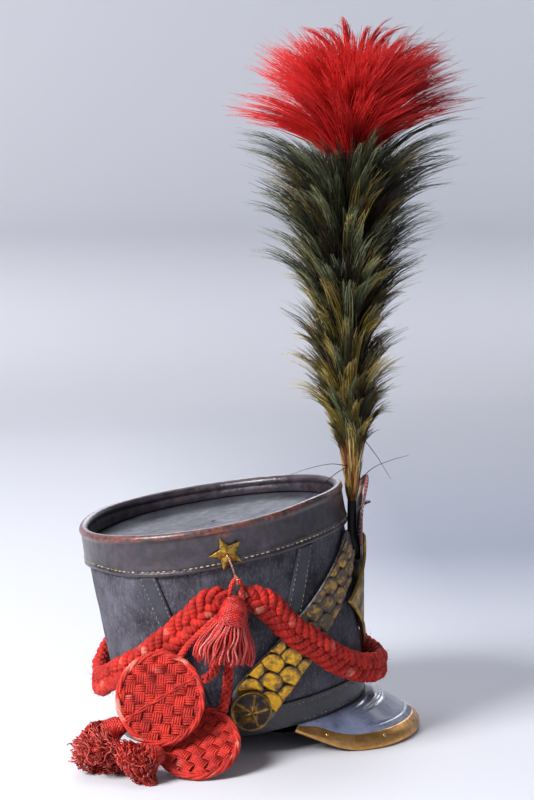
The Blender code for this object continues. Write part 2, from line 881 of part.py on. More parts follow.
def plate_surface(across, height, lift):
    """Point of the bent front plate: across and height from -1 to 1, lifted off its back."""
    y = across * PLATE_HALF_WIDTH
    x = PLATE_X - PLATE_BEND + math.sqrt(PLATE_BEND ** 2 - y ** 2)
    out = Vector((math.sqrt(PLATE_BEND ** 2 - y ** 2), y, 0.0)).normalized()
    return Vector((x, y, PLATE_Z + height * PLATE_HALF_HEIGHT)) + out * lift


def front_plate():
    """Plain bent lozenge with a rolled edge and a lug behind its middle that meets the felt."""
    marks = [-1.0, -0.94, -0.84, -0.09, -0.03, 0.03, 0.09, 0.84, 0.94, 1.0]
    h = (PLATE_Z - rest(PLATE_X, 0.0, 0.0).z) / math.cos(math.radians(TILT_DEG))
    lug = skin(0.0, h, GAP).x - PLATE_X
    outer = []
    inner = []
    for u in marks:
        row_out = []
        row_in = []
        for v in marks:
            near = max(abs(u), abs(v))
            lift = 2.6 if abs(near - 0.94) < 0.001 else 1.0
            row_out.append(plate_surface((u + v) / 2, (u - v) / 2, lift))
            row_in.append(plate_surface((u + v) / 2, (u - v) / 2, lug if near < 0.04 else 0.0))
        outer.append(row_out)
        inner.append(row_in)
    brass = new_material("front_plate_brass", (0.30, 0.24, 0.15), 1.0, 0.4)
    return grid_body("front_plate", outer, inner, brass, cut=True)


def cockade():
    """Pleated disc, its top leaning forward and its sides bent back."""
    x0, z0 = COCKADE_AT
    sides = 20

    def surface(share, k, lift):
        a = 2 * math.pi * k / sides
        rho = COCKADE_HOLE + (COCKADE_RADIUS - COCKADE_HOLE) * share
        part = (rho / COCKADE_RADIUS) ** 1.5
        bend = part * (-1.0 + 3.0 * math.cos(a) + 3.0 * math.cos(2 * a))
        pleat = (0.35 if k % 2 else -0.35) * share
        return Vector((x0 + bend + pleat + lift, rho * math.sin(a), z0 + rho * math.cos(a)))

    points = []
    faces = []
    rows = [(0.0, 0.7), (0.5, 0.7), (1.0, 0.7), (1.0, -0.7), (0.5, -0.7), (0.0, -0.7)]
    for k in range(sides):
        points += [surface(share, k, lift) for share, lift in rows]
    n = len(rows)
    for k in range(sides):
        m = (k + 1) % sides
        for j in range(n):
            i = (j + 1) % n
            faces.append((k * n + j, m * n + j, m * n + i, k * n + i))
    silk = new_material("cockade_silk", (0.42, 0.16, 0.13), 0.0, 0.8)
    return mesh_object("cockade", points, faces, silk)


def cockade_loop():
    """Leather tongue from the front of the socket through the cockade, its end curling out."""
    path = smooth_path([
        (105.7, 0.0, 176.0),
        (105.7, 0.0, 186.0),
        (106.0, 0.0, 193.5),
        (108.4, 0.0, 198.6),
        (112.0, 0.0, 202.6),
        (117.0, 0.0, 204.6),
    ], 12)
    rings = []
    for i, p in enumerate(path):
        ahead = path[min(i + 1, 11)]
        behind = path[max(i - 1, 0)]
        along = (ahead - behind).normalized()
        over = along.cross(Vector((0.0, 1.0, 0.0)))
        half = 4.0 * (0.55 if i == 11 else 1.0)
        wide = Vector((0.0, half, 0.0))
        rings.append([p - wide - over * 0.75, p + wide - over * 0.75, p + wide + over * 0.75, p - wide + over * 0.75])
    leather = new_material("cockade_loop_leather", (0.02, 0.02, 0.025), 0.0, 0.5)
    return loft_body("cockade_loop", rings, leather)


def upright_lathe(name, profile, sides, material):
    """Body turned about the plume's axis; profile rows are (height, radius)."""
    rings = []
    for z, radius in profile:
        ring = []
        for k in range(sides):
            a = 2 * math.pi * k / sides
            ring.append(Vector((PLUME_X + radius * math.cos(a), radius * math.sin(a), z)))
        rings.append(ring)
    return loft_body(name, rings, material)


def plume_socket():
    r = SOCKET_RADIUS
    leather = new_material("plume_socket_leather", (0.015, 0.015, 0.018), 0.0, 0.6)
    profile = [(177.0, r - 0.6), (177.8, r), (205.0, r), (206.0, r - 0.4), (206.0, 2.9), (184.0, 2.8)]
    return upright_lathe("plume_socket", profile, 10, leather)


def plume_neck():
    """Whipped foot of the plume, widening to the first feathers."""
    whipping = new_material("plume_neck_whipping", (0.42, 0.30, 0.12), 0.0, 0.7)
    profile = [(184.6, 2.3), (208.0, 2.4), (212.0, 3.7), (222.0, 5.0), (234.0, 7.2), (243.0, 9.4), (247.6, 9.0)]
    return upright_lathe("plume_neck", profile, 10, whipping)


def plume_middle(z):
    """The plume's axis bows a little to the rear half way up."""
    share = min(max((z - 248.0) / 310.0, 0.0), 1.0)
    return PLUME_X - PLUME_BOW * math.sin(math.pi * share)


def feather_tiers(name, tiers, locks, foot, peak_at, forms, material):
    """Core with tiers of pointed locks, all one body; every second tier is turned by half a lock."""
    sides = 2 * locks
    core = foot[1]
    rings = []
    for k in range(sides):
        a = 2 * math.pi * k / sides
        column = [foot]
        for i, (base, tip, reach) in enumerate(tiers):
            grown = 1.0 + 0.06 * math.sin(3.1 * k + 1.7 * i)
            for rise, spread in forms[(k + i) % 2]:
                column.append((base + (tip - base) * rise, core + (reach * grown - core) * spread))
        column.append(peak_at)
        rings.append([
            Vector((plume_middle(z) + r * math.cos(a), r * math.sin(a), z)) for z, r in column
        ])
    rings = [list(ring) for ring in zip(*rings)]
    return loft_body(name, rings, material, smooth=False)


def plume_green():
    feather = new_material("dark_cock_feather", (0.035, 0.045, 0.022), 0.0, 0.5)
    forms = (GREEN_LOCK, GREEN_VALLEY)
    return feather_tiers("plume_green", GREEN_TIERS, 10, (248.0, 8.0), (502.0, 5.5), forms, feather)


def plume_red():
    feather = new_material("red_cock_feather", (0.62, 0.015, 0.02), 0.0, 0.6)
    forms = (RED_LOCK, RED_VALLEY)
    return feather_tiers("plume_red", RED_TIERS, 12, (502.35, 4.5), (604.0, 3.0), forms, feather)


def festoon(name, table, half_count):
    """Flat plait hung between the two hooks, as one lumpy body."""
    middles = [tuple(skin(-angle, h, off)) for angle, h, off in table]
    middles += [tuple(skin(angle, h, off)) for angle, h, off in table[-2::-1]]
    path = smooth_path(middles, 2 * half_count + 1)
    rings = []
    run = 0.0
    for i, point in enumerate(path):
        ahead = path[min(i + 1, len(path) - 1)]
        behind = path[max(i - 1, 0)]
        along = (ahead - behind).normalized()
        if i:
            run += (point - path[i - 1]).length
        from_axis = Vector((point.x - 0.16 * (60.0 - point.z), point.y * 1.25, 0.0))
        out = (from_axis - along * from_axis.dot(along)).normalized()
        over = along.cross(out)
        end = min(i, len(path) - 1 - i)
        taper = (0.55, 0.8, 0.94, 1.0)[min(end, 3)]
        ring = []
        for k in range(8):
            a = 2 * math.pi * (k + 0.5) / 8
            side = 1.0 if math.cos(a) > 0 else -1.0
            lump = 1.0 + 0.09 * math.cos(2 * math.pi * run / PLAIT_PITCH + side * math.pi / 2)
            wide = FESTOON_HALF_WIDTH * 1.05 * lump * taper * math.cos(a)
            deep = FESTOON_HALF_DEPTH * 1.05 * taper * math.sin(a)
            ring.append(point + over * wide + out * deep)
        rings.append(ring)
    wool = new_material(name + "_wool", (0.52, 0.02, 0.02), 0.0, 0.8)
    return loft_body(name, rings, wool)


def disc_frame(lean_deg, yaw_deg):
    """Axes of a woven disc: along its width, up its face, and out of it towards the front side."""
    lean = math.radians(lean_deg)
    yaw = math.radians(yaw_deg)
    wide = Vector((math.cos(yaw), -math.sin(yaw), 0.0))
    back = Vector((math.sin(yaw), math.cos(yaw), 0.0))
    up = back * math.cos(lean) + Vector((0.0, 0.0, math.sin(lean)))
    return wide, up, wide.cross(up)


def raquette(name, centre, frame, half_wide, half_tall, thick):
    """Flat woven disc with a scalloped rim; its weave shows as low squares."""
    wide, up, out = frame
    sides = 24
    middle = Vector(centre)

    def spoke(a):
        return half_wide * math.cos(a) * wide + half_tall * math.sin(a) * up

    shares = [0.25, 0.6, 0.9]
    rings = []
    for face in (1.0, -1.0):
        half = []
        for row, share in enumerate(shares):
            ring = []
            for k in range(sides):
                a = 2 * math.pi * k / sides
                bump = 0.5 if (k // 2 + row) % 2 else -0.3
                level = face * (thick / 2 + bump * (0.4 if row == 2 else 1.0))
                ring.append(middle + share * spoke(a) + out * level)
            half.append(ring)
        rings.append(half)
    rim = []
    for k in range(sides):
        a = 2 * math.pi * k / sides
        rim.append(middle + (1.0 if k % 2 else 0.965) * spoke(a))
    wool = new_material(name + "_wool", (0.50, 0.02, 0.02), 0.0, 0.8)
    return loft_body(name, rings[0] + [rim] + rings[1][::-1], wool)


def tassel(name, axis_points, sizes, flat, facing, material_name):
    """Tassel head and fluted skirt along an axis; sizes are half widths, flat squeezes the depth."""
    path = smooth_path(axis_points, len(sizes))
    rings = []
    sides = 16
    for i, size in enumerate(sizes):
        ahead = path[min(i + 1, len(path) - 1)]
        behind = path[max(i - 1, 0)]
        along = (ahead - behind).normalized()
        wide = along.cross(Vector(facing)).normalized()
        deep = wide.cross(along)
        skirt = min(1.0, max(0.0, (i - 3) / 4))
        ring = []
        for k in range(sides):
            a = 2 * math.pi * k / sides
            flute = 1.0 + skirt * (0.09 if k % 2 else -0.09)
            squeeze = 1.0 + (flat - 1.0) * skirt
            point = path[i] + size * flute * (wide * math.cos(a) + deep * squeeze * math.sin(a))
            point.z = max(point.z, 0.0)
            ring.append(point)
        rings.append(ring)
    silk = new_material(material_name, (0.55, 0.03, 0.035), 0.0, 0.6)
    return loft_body(name, rings, silk)


def cord_stem(name, points, radius, count):
    wool = new_material(name + "_wool", (0.55, 0.03, 0.03), 0.0, 0.8)
    return cord_object(name, points, radius, count, wool)


def cap_lines():
    """Braids, woven discs, stems and tassels."""
    festoon("festoon_front", FESTOON_FRONT, 19)
    festoon("festoon_rear", FESTOON_REAR, 18)
    hook_loop("hook_loop_right", False)
    hook_loop("hook_loop_left", True)
    raquette("raquette_upper", (-78.9, -131.0, 62.3), disc_frame(65.0, 4.0), 38.2, 41.0, 6.6)
    raquette("raquette_lower", (-48.5, -138.0, 25.4), disc_frame(38.0, 6.0), 37.5, 38.5, 8.0)
    cord_stem("raquette_stem_upper_1", STEM_UPPER_1, 3.2, 9)
    cord_stem("raquette_stem_upper_2", STEM_UPPER_2, 4.2, 11)
    cord_stem("raquette_stem_lower", STEM_LOWER, 4.8, 11)
    upright = (0.25, -1.0, 0.0)
    lying = (0.0, 0.0, 1.0)
    side_sizes = [6.0, 9.5, 10.4, 10.6, 12.5, 17.0, 21.5, 25.0, 24.0]
    tassel("tassel_side", SIDE_TASSEL_AXIS, side_sizes, 0.42, upright, "side_tassel_silk")
    sizes = [5.0, 8.0, 9.0, 14.0, 20.0, 22.0, 21.5, 19.0, 14.0]
    tassel("tassel_floor_1", FLOOR_TASSEL_1_AXIS, sizes, 0.9, lying, "floor_tassel_silk_1")
    sizes = [5.5, 8.0, 8.5, 11.5, 14.0, 15.0, 14.5, 12.5, 9.0]
    tassel("tassel_floor_2", FLOOR_TASSEL_2_AXIS, sizes, 0.9, lying, "floor_tassel_silk_2")


def build():
    for obj in list(bpy.data.objects):
        bpy.data.objects.remove(obj, do_unlink=True)
    crown_body()
    top_band()
    crown_disc()
    lower_band()
    for side, mirrored in (("right", False), ("left", True)):
        chevron("chevron_front_" + side, CHEVRON_FRONT, mirrored)
        chevron("chevron_rear_" + side, CHEVRON_REAR, mirrored)
        chin_strap("chin_strap_" + side, mirrored)
        chin_scales("chin_scales_" + side, mirrored)
        boss("boss_" + side, mirrored)
        star_hook("star_hook_" + side, mirrored)
    peak()
    peak_trim()
    front_plate()
    cockade()
    cockade_loop()
    plume_socket()
    plume_neck()
    plume_green()
    plume_red()
    cap_lines()


build()
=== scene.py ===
import math

import bpy
import numpy as np
from mathutils import Matrix, Vector, noise


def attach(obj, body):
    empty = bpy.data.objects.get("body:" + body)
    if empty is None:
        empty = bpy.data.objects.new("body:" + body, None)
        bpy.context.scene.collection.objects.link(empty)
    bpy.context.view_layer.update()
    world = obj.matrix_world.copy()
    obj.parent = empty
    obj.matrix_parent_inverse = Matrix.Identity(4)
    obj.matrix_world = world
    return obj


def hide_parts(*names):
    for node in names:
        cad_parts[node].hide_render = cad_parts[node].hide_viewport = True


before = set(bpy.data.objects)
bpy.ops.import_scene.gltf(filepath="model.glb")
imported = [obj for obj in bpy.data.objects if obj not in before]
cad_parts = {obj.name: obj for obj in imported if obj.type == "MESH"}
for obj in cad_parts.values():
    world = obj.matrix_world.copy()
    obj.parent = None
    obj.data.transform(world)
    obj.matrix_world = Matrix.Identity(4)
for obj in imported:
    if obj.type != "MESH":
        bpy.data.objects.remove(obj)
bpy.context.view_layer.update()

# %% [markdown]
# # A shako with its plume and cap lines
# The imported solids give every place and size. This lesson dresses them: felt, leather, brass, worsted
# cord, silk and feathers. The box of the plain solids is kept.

MM = 0.001
# Where the row's origin lies, in mm along the hat's own x.
ORIGIN_X = 36.14

# %% [markdown]
# ## Measures shared with the solids
# The hat is an oval tube that flares towards the top and rests tilted back. Every sheet of the hat lies at
# some angle round it, some height up it and some distance off the felt. Writing that place as one function
# of arrays lets a strip, a row of stitches or a braid follow the felt exactly.

# %% Smooth tables
def smooth(table, key):
    """Rows of a table at any keys, on a smooth curve through them."""
    rows = np.array(table, float)
    rows = rows[np.argsort(rows[:, 0])]
    marks, values = rows[:, 0], rows[:, 1:]
    key = np.clip(np.asarray(key, float), marks[0], marks[-1])
    i = np.clip(np.searchsorted(marks, key, side="left") - 1, 0, len(marks) - 2)
    before = np.maximum(i - 1, 0)
    after = np.minimum(i + 2, len(marks) - 1)
    span = (marks[i + 1] - marks[i])[..., None]
    f = (key[..., None] - marks[i][..., None]) / span
    here, there = values[i], values[i + 1]
    leaving = (there - values[before]) / (marks[i + 1] - marks[before])[..., None] * span
    arriving = (values[after] - here) / (marks[after] - marks[i])[..., None] * span
    a = 2 * here - 2 * there + leaving + arriving
    b = 3 * there - 3 * here - 2 * leaving - arriving
    return ((a * f + b) * f + leaving) * f + here


def walked(points):
    """Distance walked along a line of points, at each of them."""
    return np.concatenate([[0.0], np.cumsum(np.linalg.norm(np.diff(points, axis=0), axis=1))])


def smooth_line(points, count):
    """Evenly spread points on a smooth line through the given ones."""
    points = np.array(points, float)
    run = walked(points)
    fine = smooth(np.column_stack([run, points]), np.linspace(0, run[-1], 40 * count))
    run = walked(fine)
    even = np.linspace(0, run[-1], count)
    return np.column_stack([np.interp(even, run, fine[:, k]) for k in range(3)])


# %% The skin of the hat
HAT_HEIGHT = 190.6
TILT = math.radians(9.283)
# Length and width at the foot, what the flare adds to them at the top, and how late the flare comes.
FOOT_LENGTH, FOOT_WIDTH = 210.4, 174.4
LENGTH_FLARE, WIDTH_FLARE, FLARE_POWER = 22.4, 37.8, 1.315
# The top sits forward of the foot and is narrower in front. The rear of the foot is pressed flat.
TOP_FORWARD, TOP_NARROWING = 4.66, 0.027
FOOT_LEATHER, REAR_PRESS = 1.9, 0.8
MEAN_HALF_LENGTH, MEAN_HALF_WIDTH = 109.0, 95.0
FELT_THICK, BAND_DEPTH, LIP_DEPTH, LIP_OFF = 2.5, 35.0, 16.2, -2.9
# Height up the hat, and how far the front bulges forward there.
FRONT_FULL = [(0.0, 7.0), (45.0, 9.0), (100.0, 7.0), (150.0, 2.2), (191.0, 0.0)]
# Degrees from the front, then the lift of the rim and of the band's lower edge there.
BAND_LIFT = [
    (-180, 0.0, 1.2), (-157, 0.2, 2.6), (-135, 0.3, -1.2), (-110, 0.0, -2.8), (-80, 0.2, -1.2),
    (-60, 1.4, -0.2), (-42, 2.8, 0.8), (-20, 1.6, 0.9), (0, 0.8, 0.8), (30, -0.4, 0.4),
    (60, -1.8, 0.0), (90, -1.9, -1.0), (120, -0.4, -1.4), (150, 1.4, 0.4), (180, 0.0, 1.2),
]


def skin(angle, h, off):
    """Place in mm: degrees from the front (minus is the wearer's right), height, distance off the felt."""
    angle, h, off = np.broadcast_arrays(*(np.asarray(v, float) for v in (angle, h, off)))
    a = np.radians(angle)
    c, s = np.cos(a), np.sin(a)
    share = np.clip(h / HAT_HEIGHT, 0.0, 1.05) ** FLARE_POWER
    half_length = (FOOT_LENGTH + LENGTH_FLARE * share) / 2
    half_width = (FOOT_WIDTH + WIDTH_FLARE * share) / 2
    nx, ny = c / half_length, s / half_width
    n = np.hypot(nx, ny)
    fade = np.sin(np.pi * np.clip(h / 160.0, 0.0, 1.0))
    folds = 0.45 * np.sin(5 * a + 0.8) + 0.35 * np.sin(9 * a - 0.4) + 0.25 * np.sin(13 * a)
    out = off + folds * fade
    fore = smooth(FRONT_FULL, h)[..., 0] * np.maximum(c, 0.0) ** 2
    x = half_length * c + TOP_FORWARD * share + fore + out * nx / n
    y = half_width * s * (1 - TOP_NARROWING * share * c) + out * ny / n
    lift = (FOOT_LENGTH / 2 + FOOT_LEATHER) * math.sin(TILT) - REAR_PRESS
    return np.stack([
        x * math.cos(TILT) - h * math.sin(TILT),
        y,
        x * math.sin(TILT) + h * math.cos(TILT) + lift,
    ], axis=-1)


def girth(angle):
    """Millimetres round the side per degree."""
    a = np.radians(angle)
    return np.hypot(MEAN_HALF_LENGTH * np.sin(a), MEAN_HALF_WIDTH * np.cos(a)) * math.pi / 180


def band_edge(angle):
    """Lift of the rim and of the lower edge of the top band at an angle."""
    turned = (np.asarray(angle, float) + 180.0) % 360.0 - 180.0
    return smooth(BAND_LIFT, turned)


print("side of the hat", skin(-90.0, [0.0, HAT_HEIGHT], 0.0).round(1).tolist())

# %% [markdown]
# ## Building meshes from arrays
# Braids, stitches and feathers are thousands of small shapes. Written as arrays of points and faces and
# joined in one mesh, they cost one object each. A heap collects points, faces, a place along and round each
# cord for the twist of its yarn, and one number per point, the mark, that a finish may read as wear.

# %% Heaps of faces and the pieces made from them
class Heap:
    def __init__(self):
        self.points, self.marks, self.faces, self.lays, self.count = [], [], [], [], 0

    def add(self, points, faces, mark=0.0, lay=None, solid=False):
        """Adds points (N, 3) in mm with faces (M, corners); a solid's faces are turned to look outwards."""
        points = np.asarray(points, float).reshape(-1, 3)
        faces = np.asarray(faces, np.int64)
        if solid:
            p = points - points.mean(0)
            a, b, c, d = (p[faces[:, i]] for i in (0, 1, 2, -1))
            volume = (a * np.cross(b, c)).sum() + (a * np.cross(c, d)).sum()
            faces = faces if volume > 0 else faces[:, ::-1]
        self.points.append(points)
        self.marks.append(np.broadcast_to(np.asarray(mark, float).reshape(-1), (len(points),)))
        self.faces.append(faces + self.count)
        self.lays.append(np.zeros(faces.shape + (2,)) if lay is None else lay)
        self.count += len(points)
        return self

    def close_ends(self, rows, cols, step):
        """Adds a face over each end of the grid added last; step 1 or -1 is the way round of the first."""
        base = self.count - rows * cols
        for row, way in ((0, step), (rows - 1, -step)):
            self.faces.append(np.arange(cols)[None, ::way] + row * cols + base)
            self.lays.append(np.zeros((1, cols, 2)))
        return self


def piece(name, heap, material, stands_for=(), mirrored=False):
    """One object in metres of the row frame, riding on the hat."""
    points = np.concatenate(heap.points)
    points = (points - (ORIGIN_X, 0.0, 0.0)) * MM
    if mirrored:
        points = points * (1.0, -1.0, 1.0)
    corners = np.concatenate([f.reshape(-1) for f in heap.faces])
    totals = np.concatenate([np.full(len(f), f.shape[1]) for f in heap.faces])
    mesh = bpy.data.meshes.new(name)
    mesh.vertices.add(len(points))
    mesh.vertices.foreach_set("co", points.astype(np.float32).reshape(-1))
    mesh.loops.add(len(corners))
    mesh.loops.foreach_set("vertex_index", corners.astype(np.int32))
    mesh.polygons.add(len(totals))
    mesh.polygons.foreach_set("loop_start", (np.cumsum(totals) - totals).astype(np.int32))
    mesh.polygons.foreach_set("loop_total", totals.astype(np.int32))
    mesh.update(calc_edges=True)
    mesh.polygons.foreach_set("use_smooth", np.full(len(totals), True))
    marks = mesh.attributes.new("mark", "FLOAT", "POINT")
    marks.data.foreach_set("value", np.concatenate(heap.marks).astype(np.float32))
    lays = mesh.uv_layers.new(name="lay")
    lays.uv.foreach_set("vector", np.concatenate([v.reshape(-1) for v in heap.lays]).astype(np.float32))
    if mirrored:
        mesh.flip_normals()
    mesh.materials.append(material)
    obj = bpy.data.objects.new(name, mesh)
    bpy.context.scene.collection.objects.link(obj)
    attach(obj, "root")
    if stands_for:
        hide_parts(*stands_for)
    print(f"{name}: {int((totals - 2).sum())} triangles")
    return obj


# %% Sheets, rings and tubes
def circle(count):
    """Evenly spread angles round a circle."""
    return 2 * np.pi * np.arange(count) / count


def unit(vectors):
    """Vectors brought to a length of one."""
    return vectors / np.linalg.norm(vectors, axis=-1, keepdims=True)


def grid_faces(rows, cols, wrap_rows=False, wrap_cols=False):
    i = np.arange(rows if wrap_rows else rows - 1)[:, None]
    j = np.arange(cols if wrap_cols else cols - 1)[None, :]
    k, m = (i + 1) % rows, (j + 1) % cols
    return np.stack([i * cols + j, k * cols + j, k * cols + m, i * cols + m], -1).reshape(-1, 4)


def sheet_between(top, bottom):
    """Points and faces of a closed sheet between two grids of equal size."""
    rows, cols = top.shape[:2]
    base = rows * cols
    faces = grid_faces(rows, cols)
    rim = list(range(cols)) + [i * cols + cols - 1 for i in range(1, rows)]
    rim += [(rows - 1) * cols + j for j in range(cols - 2, -1, -1)]
    rim += [i * cols for i in range(rows - 2, 0, -1)]
    rim = np.array(rim)
    ahead = np.roll(rim, -1)
    wall = np.stack([ahead, rim, base + rim, base + ahead], -1)
    points = np.concatenate([top.reshape(-1, 3), bottom.reshape(-1, 3)])
    return points, np.concatenate([faces, base + faces[:, ::-1], wall[:, ::-1]])


def carried_frames(paths):
    """Two directions across each path, turning as little as they can; paths are (N, K, 3)."""
    along = np.gradient(paths, axis=1)
    along /= np.linalg.norm(along, axis=2, keepdims=True) + 1e-12
    start = np.cross(along[:, 0], (0.0, 0.0, 1.0))
    flat = np.linalg.norm(start, axis=1) < 0.15
    start[flat] = np.cross(along[flat, 0], (1.0, 0.0, 0.0))
    side = np.empty_like(along)
    now = start
    for k in range(paths.shape[1]):
        now = now - (now * along[:, k]).sum(1, keepdims=True) * along[:, k]
        now = now / (np.linalg.norm(now, axis=1, keepdims=True) + 1e-12)
        side[:, k] = now
    return along, side, np.cross(along, side)


def tubes(heap, paths, radii, sides=6, mark=0.0, flat=1.0, frames=None, turned=0.0):
    """Adds closed tubes along paths (N, K, 3); radii broadcast to (N, K); flat squeezes one direction."""
    paths = np.asarray(paths, float)
    n, k = paths.shape[:2]
    radii = np.broadcast_to(np.asarray(radii, float), (n, k))
    side, over = frames if frames is not None else carried_frames(paths)[1:]
    a = circle(sides) + turned
    ring = radii[..., None, None] * (
        np.cos(a)[:, None] * side[:, :, None, :] + flat * np.sin(a)[:, None] * over[:, :, None, :])
    points = paths[:, :, None, :] + ring
    one = grid_faces(k, sides, wrap_cols=True)
    row, col = one // sides, one % sides
    col = np.where((col == 0) & (col[:, [0]] == sides - 1), sides, col)
    one, row, col = one[:, ::-1], row[:, ::-1], col[:, ::-1]
    faces = (one[None] + (np.arange(n) * k * sides)[:, None, None]).reshape(-1, 4)
    steps = np.linalg.norm(np.diff(paths, axis=1), axis=2)
    run = np.concatenate([np.zeros((n, 1)), np.cumsum(steps, axis=1)], axis=1)
    u = run[:, row]
    v = np.broadcast_to(col / sides, (n,) + col.shape)
    lay = np.stack([u, v], -1).reshape(-1, 4, 2)
    mark = np.asarray(mark, float)
    if mark.ndim:
        mark = np.repeat(np.broadcast_to(mark, (n, k)).reshape(-1), sides)
    heap.add(points, faces, mark, lay)
    caps = np.arange(sides)
    first = (np.arange(n) * k * sides)[:, None] + caps[None, :]
    last = first + (k - 1) * sides
    heap.faces.append(first[:, ::-1] + heap.count - n * k * sides)
    heap.faces.append(last + heap.count - n * k * sides)
    heap.lays.extend([np.zeros((n, sides, 2)), np.zeros((n, sides, 2))])
    return heap


def rough(points, size, seed=0.0):
    """Smooth noise from -1 to 1 at points in mm, with bumps of the given size in mm."""
    flat = np.asarray(points, float).reshape(-1, 3) / size + seed
    found = [noise.noise(Vector(p)) for p in flat]
    return np.array(found).reshape(np.asarray(points).shape[:-1])


def shaken(points, size, seed):
    """Smooth noise in three directions, from -1 to 1, at points in mm."""
    return np.stack([rough(points, size, seed + k) for k in range(3)], -1)


# %% [markdown]
# ## Finishes
# Each finish begins as what the real thing is made of. One function opens a Principled material, one turns
# the sRGB colours of a colour card to linear, and one adds a node with its settings and links. Pattern
# sizes are real millimetres: a noise of scale 1000 / 4 has bumps about 4 mm across.

# %% Starting a finish
def ink(code):
    """A colour card's sRGB hex as linear colour."""
    parts = [int(code[i:i + 2], 16) / 255 for i in (1, 3, 5)]
    return [p / 12.92 if p <= 0.04045 else ((p + 0.055) / 1.055) ** 2.4 for p in parts] + [1.0]


def put(tree, kind, inputs, out=0, **settings):
    """Adds one node with its settings and its inputs, each a value or another node's output."""
    made = tree.nodes.new("ShaderNode" + kind)
    for key, value in settings.items():
        setattr(made, key, value)
    for key, value in inputs.items():
        if isinstance(value, bpy.types.NodeSocket):
            tree.links.new(value, made.inputs[key])
        else:
            made.inputs[key].default_value = value
    return made.outputs[out]


RGB = {"out": 2, "data_type": "RGBA"}


def finish(name, **values):
    """A Principled material: (material, tree, shader, place in metres, mark of the point)."""
    made = bpy.data.materials.new(name)
    made.use_nodes = True
    tree = made.node_tree
    shader = tree.nodes["Principled BSDF"]
    for key, value in values.items():
        shader.inputs[key.replace("_", " ").title().replace("Ior", "IOR")].default_value = value
    place = put(tree, "TexCoord", {}, "Object")
    return made, tree, shader, place, put(tree, "Attribute", {}, "Fac", attribute_name="mark")


def patches(tree, place, size_mm, low=0.35, high=0.65, full=1.0, least=0.0, detail=4.0, roughness=0.6,
            stretch=(1, 1, 1)):
    """Where worn, stained or fibrous patches of a real size lie, from least to full."""
    moved = put(tree, "Mapping", {"Vector": place, "Scale": stretch})
    cloud = put(tree, "TexNoise", {
        "Vector": moved, "Scale": 1000 / size_mm, "Detail": detail, "Roughness": roughness}, "Fac")
    return put(tree, "MapRange", {
        "Value": cloud, "From Min": low, "From Max": high, "To Min": least, "To Max": full})


def dressed(tree, shader, colour, height, depth_mm, roughness=None):
    """Gives the shader its colour, its gloss and a relief whose depth is in mm."""
    tree.links.new(colour, shader.inputs["Base Color"])
    if roughness is not None:
        tree.links.new(roughness, shader.inputs["Roughness"])
    relief = put(tree, "Bump", {"Height": height, "Distance": depth_mm * MM, "Strength": 0.8})
    tree.links.new(relief, shader.inputs["Normal"])


# %% Felt
# Wool felt, once black, is beaten and shrunk, not woven. Age has turned it a cool grey and left short
# fibres and rubbed streaks that run up the side. It is matt with a faint bloom at grazing angles.
FELT, tree, shader, place, _ = finish(
    "worn_wool_felt", roughness=0.92, sheen_weight=0.25, sheen_roughness=0.5, sheen_tint=ink("#8d8a96"),
    specular_ior_level=0.25)
clouds = patches(tree, place, 30, 0.35, 0.65, detail=6.0)
streaks = patches(tree, place, 3.4, 0.5, 0.7, 0.6, stretch=(1, 1, 0.25), detail=6.0)
specks = patches(tree, place, 1.9, 0.52, 0.72, 0.5, stretch=(1, 1, 0.5))
colour = put(tree, "Mix", {0: clouds, 6: ink("#2c2b31"), 7: ink("#5b5a64")}, **RGB)
colour = put(tree, "Mix", {0: streaks, 6: colour, 7: ink("#2b292f")}, **RGB)
colour = put(tree, "Mix", {0: specks, 6: colour, 7: ink("#7e7c88")}, **RGB)
fibres = put(tree, "Math", {0: patches(tree, place, 1.6, 0.2, 0.8), 1: streaks}, operation="SUBTRACT")
dressed(tree, shader, colour, fibres, 0.9)

# %% Band and rim leather
# Cow leather, dyed black and waxed. A century of hands has rubbed the rim through to red-brown hide, and
# the wax has gone cloudy, so the gloss comes and goes. The mark says how rubbed a place is.
BAND, tree, shader, place, mark = finish("waxed_black_leather", coat_weight=0.35, coat_roughness=0.3)
bloom = patches(tree, place, 9, 0.45, 0.75, 0.38, detail=7.0)
clouds = patches(tree, place, 22, 0.35, 0.68)
colour = put(tree, "Mix", {0: clouds, 6: ink("#141016"), 7: ink("#2e252b")}, **RGB)
colour = put(tree, "Mix", {0: bloom, 6: colour, 7: ink("#5c5268")}, **RGB)
smears = patches(tree, place, 13, 0.5, 0.72, 0.6, detail=7.0, stretch=(1, 1, 0.35))
colour = put(tree, "Mix", {0: smears, 6: colour, 7: ink("#3d2c2a")}, **RGB)
wear = patches(tree, place, 7, 0.25, 0.62, 1.2, detail=6.0)
patchy = put(tree, "Math", {0: mark, 1: wear}, operation="MULTIPLY")
rubbed = put(tree, "MapRange", {"Value": patchy, "From Min": 0.3, "From Max": 0.95, "To Max": 0.8})
spots = patches(tree, place, 3, 0.4, 0.65)
hide = put(tree, "Mix", {0: spots, 6: ink("#4c251d"), 7: ink("#8e4e38")}, **RGB)
colour = put(tree, "Mix", {0: rubbed, 6: colour, 7: hide}, **RGB)
gloss = put(tree, "MapRange", {"Value": bloom, "From Max": 0.38, "To Min": 0.3, "To Max": 0.46})
pores = patches(tree, place, 1.6, 0.2, 0.8, 0.5)
creases = patches(tree, place, 7, 0.2, 0.8, 2.0, stretch=(1, 1, 0.5))
grain = put(tree, "Math", {0: pores, 1: creases}, operation="ADD")
dressed(tree, shader, colour, grain, 0.3, gloss)
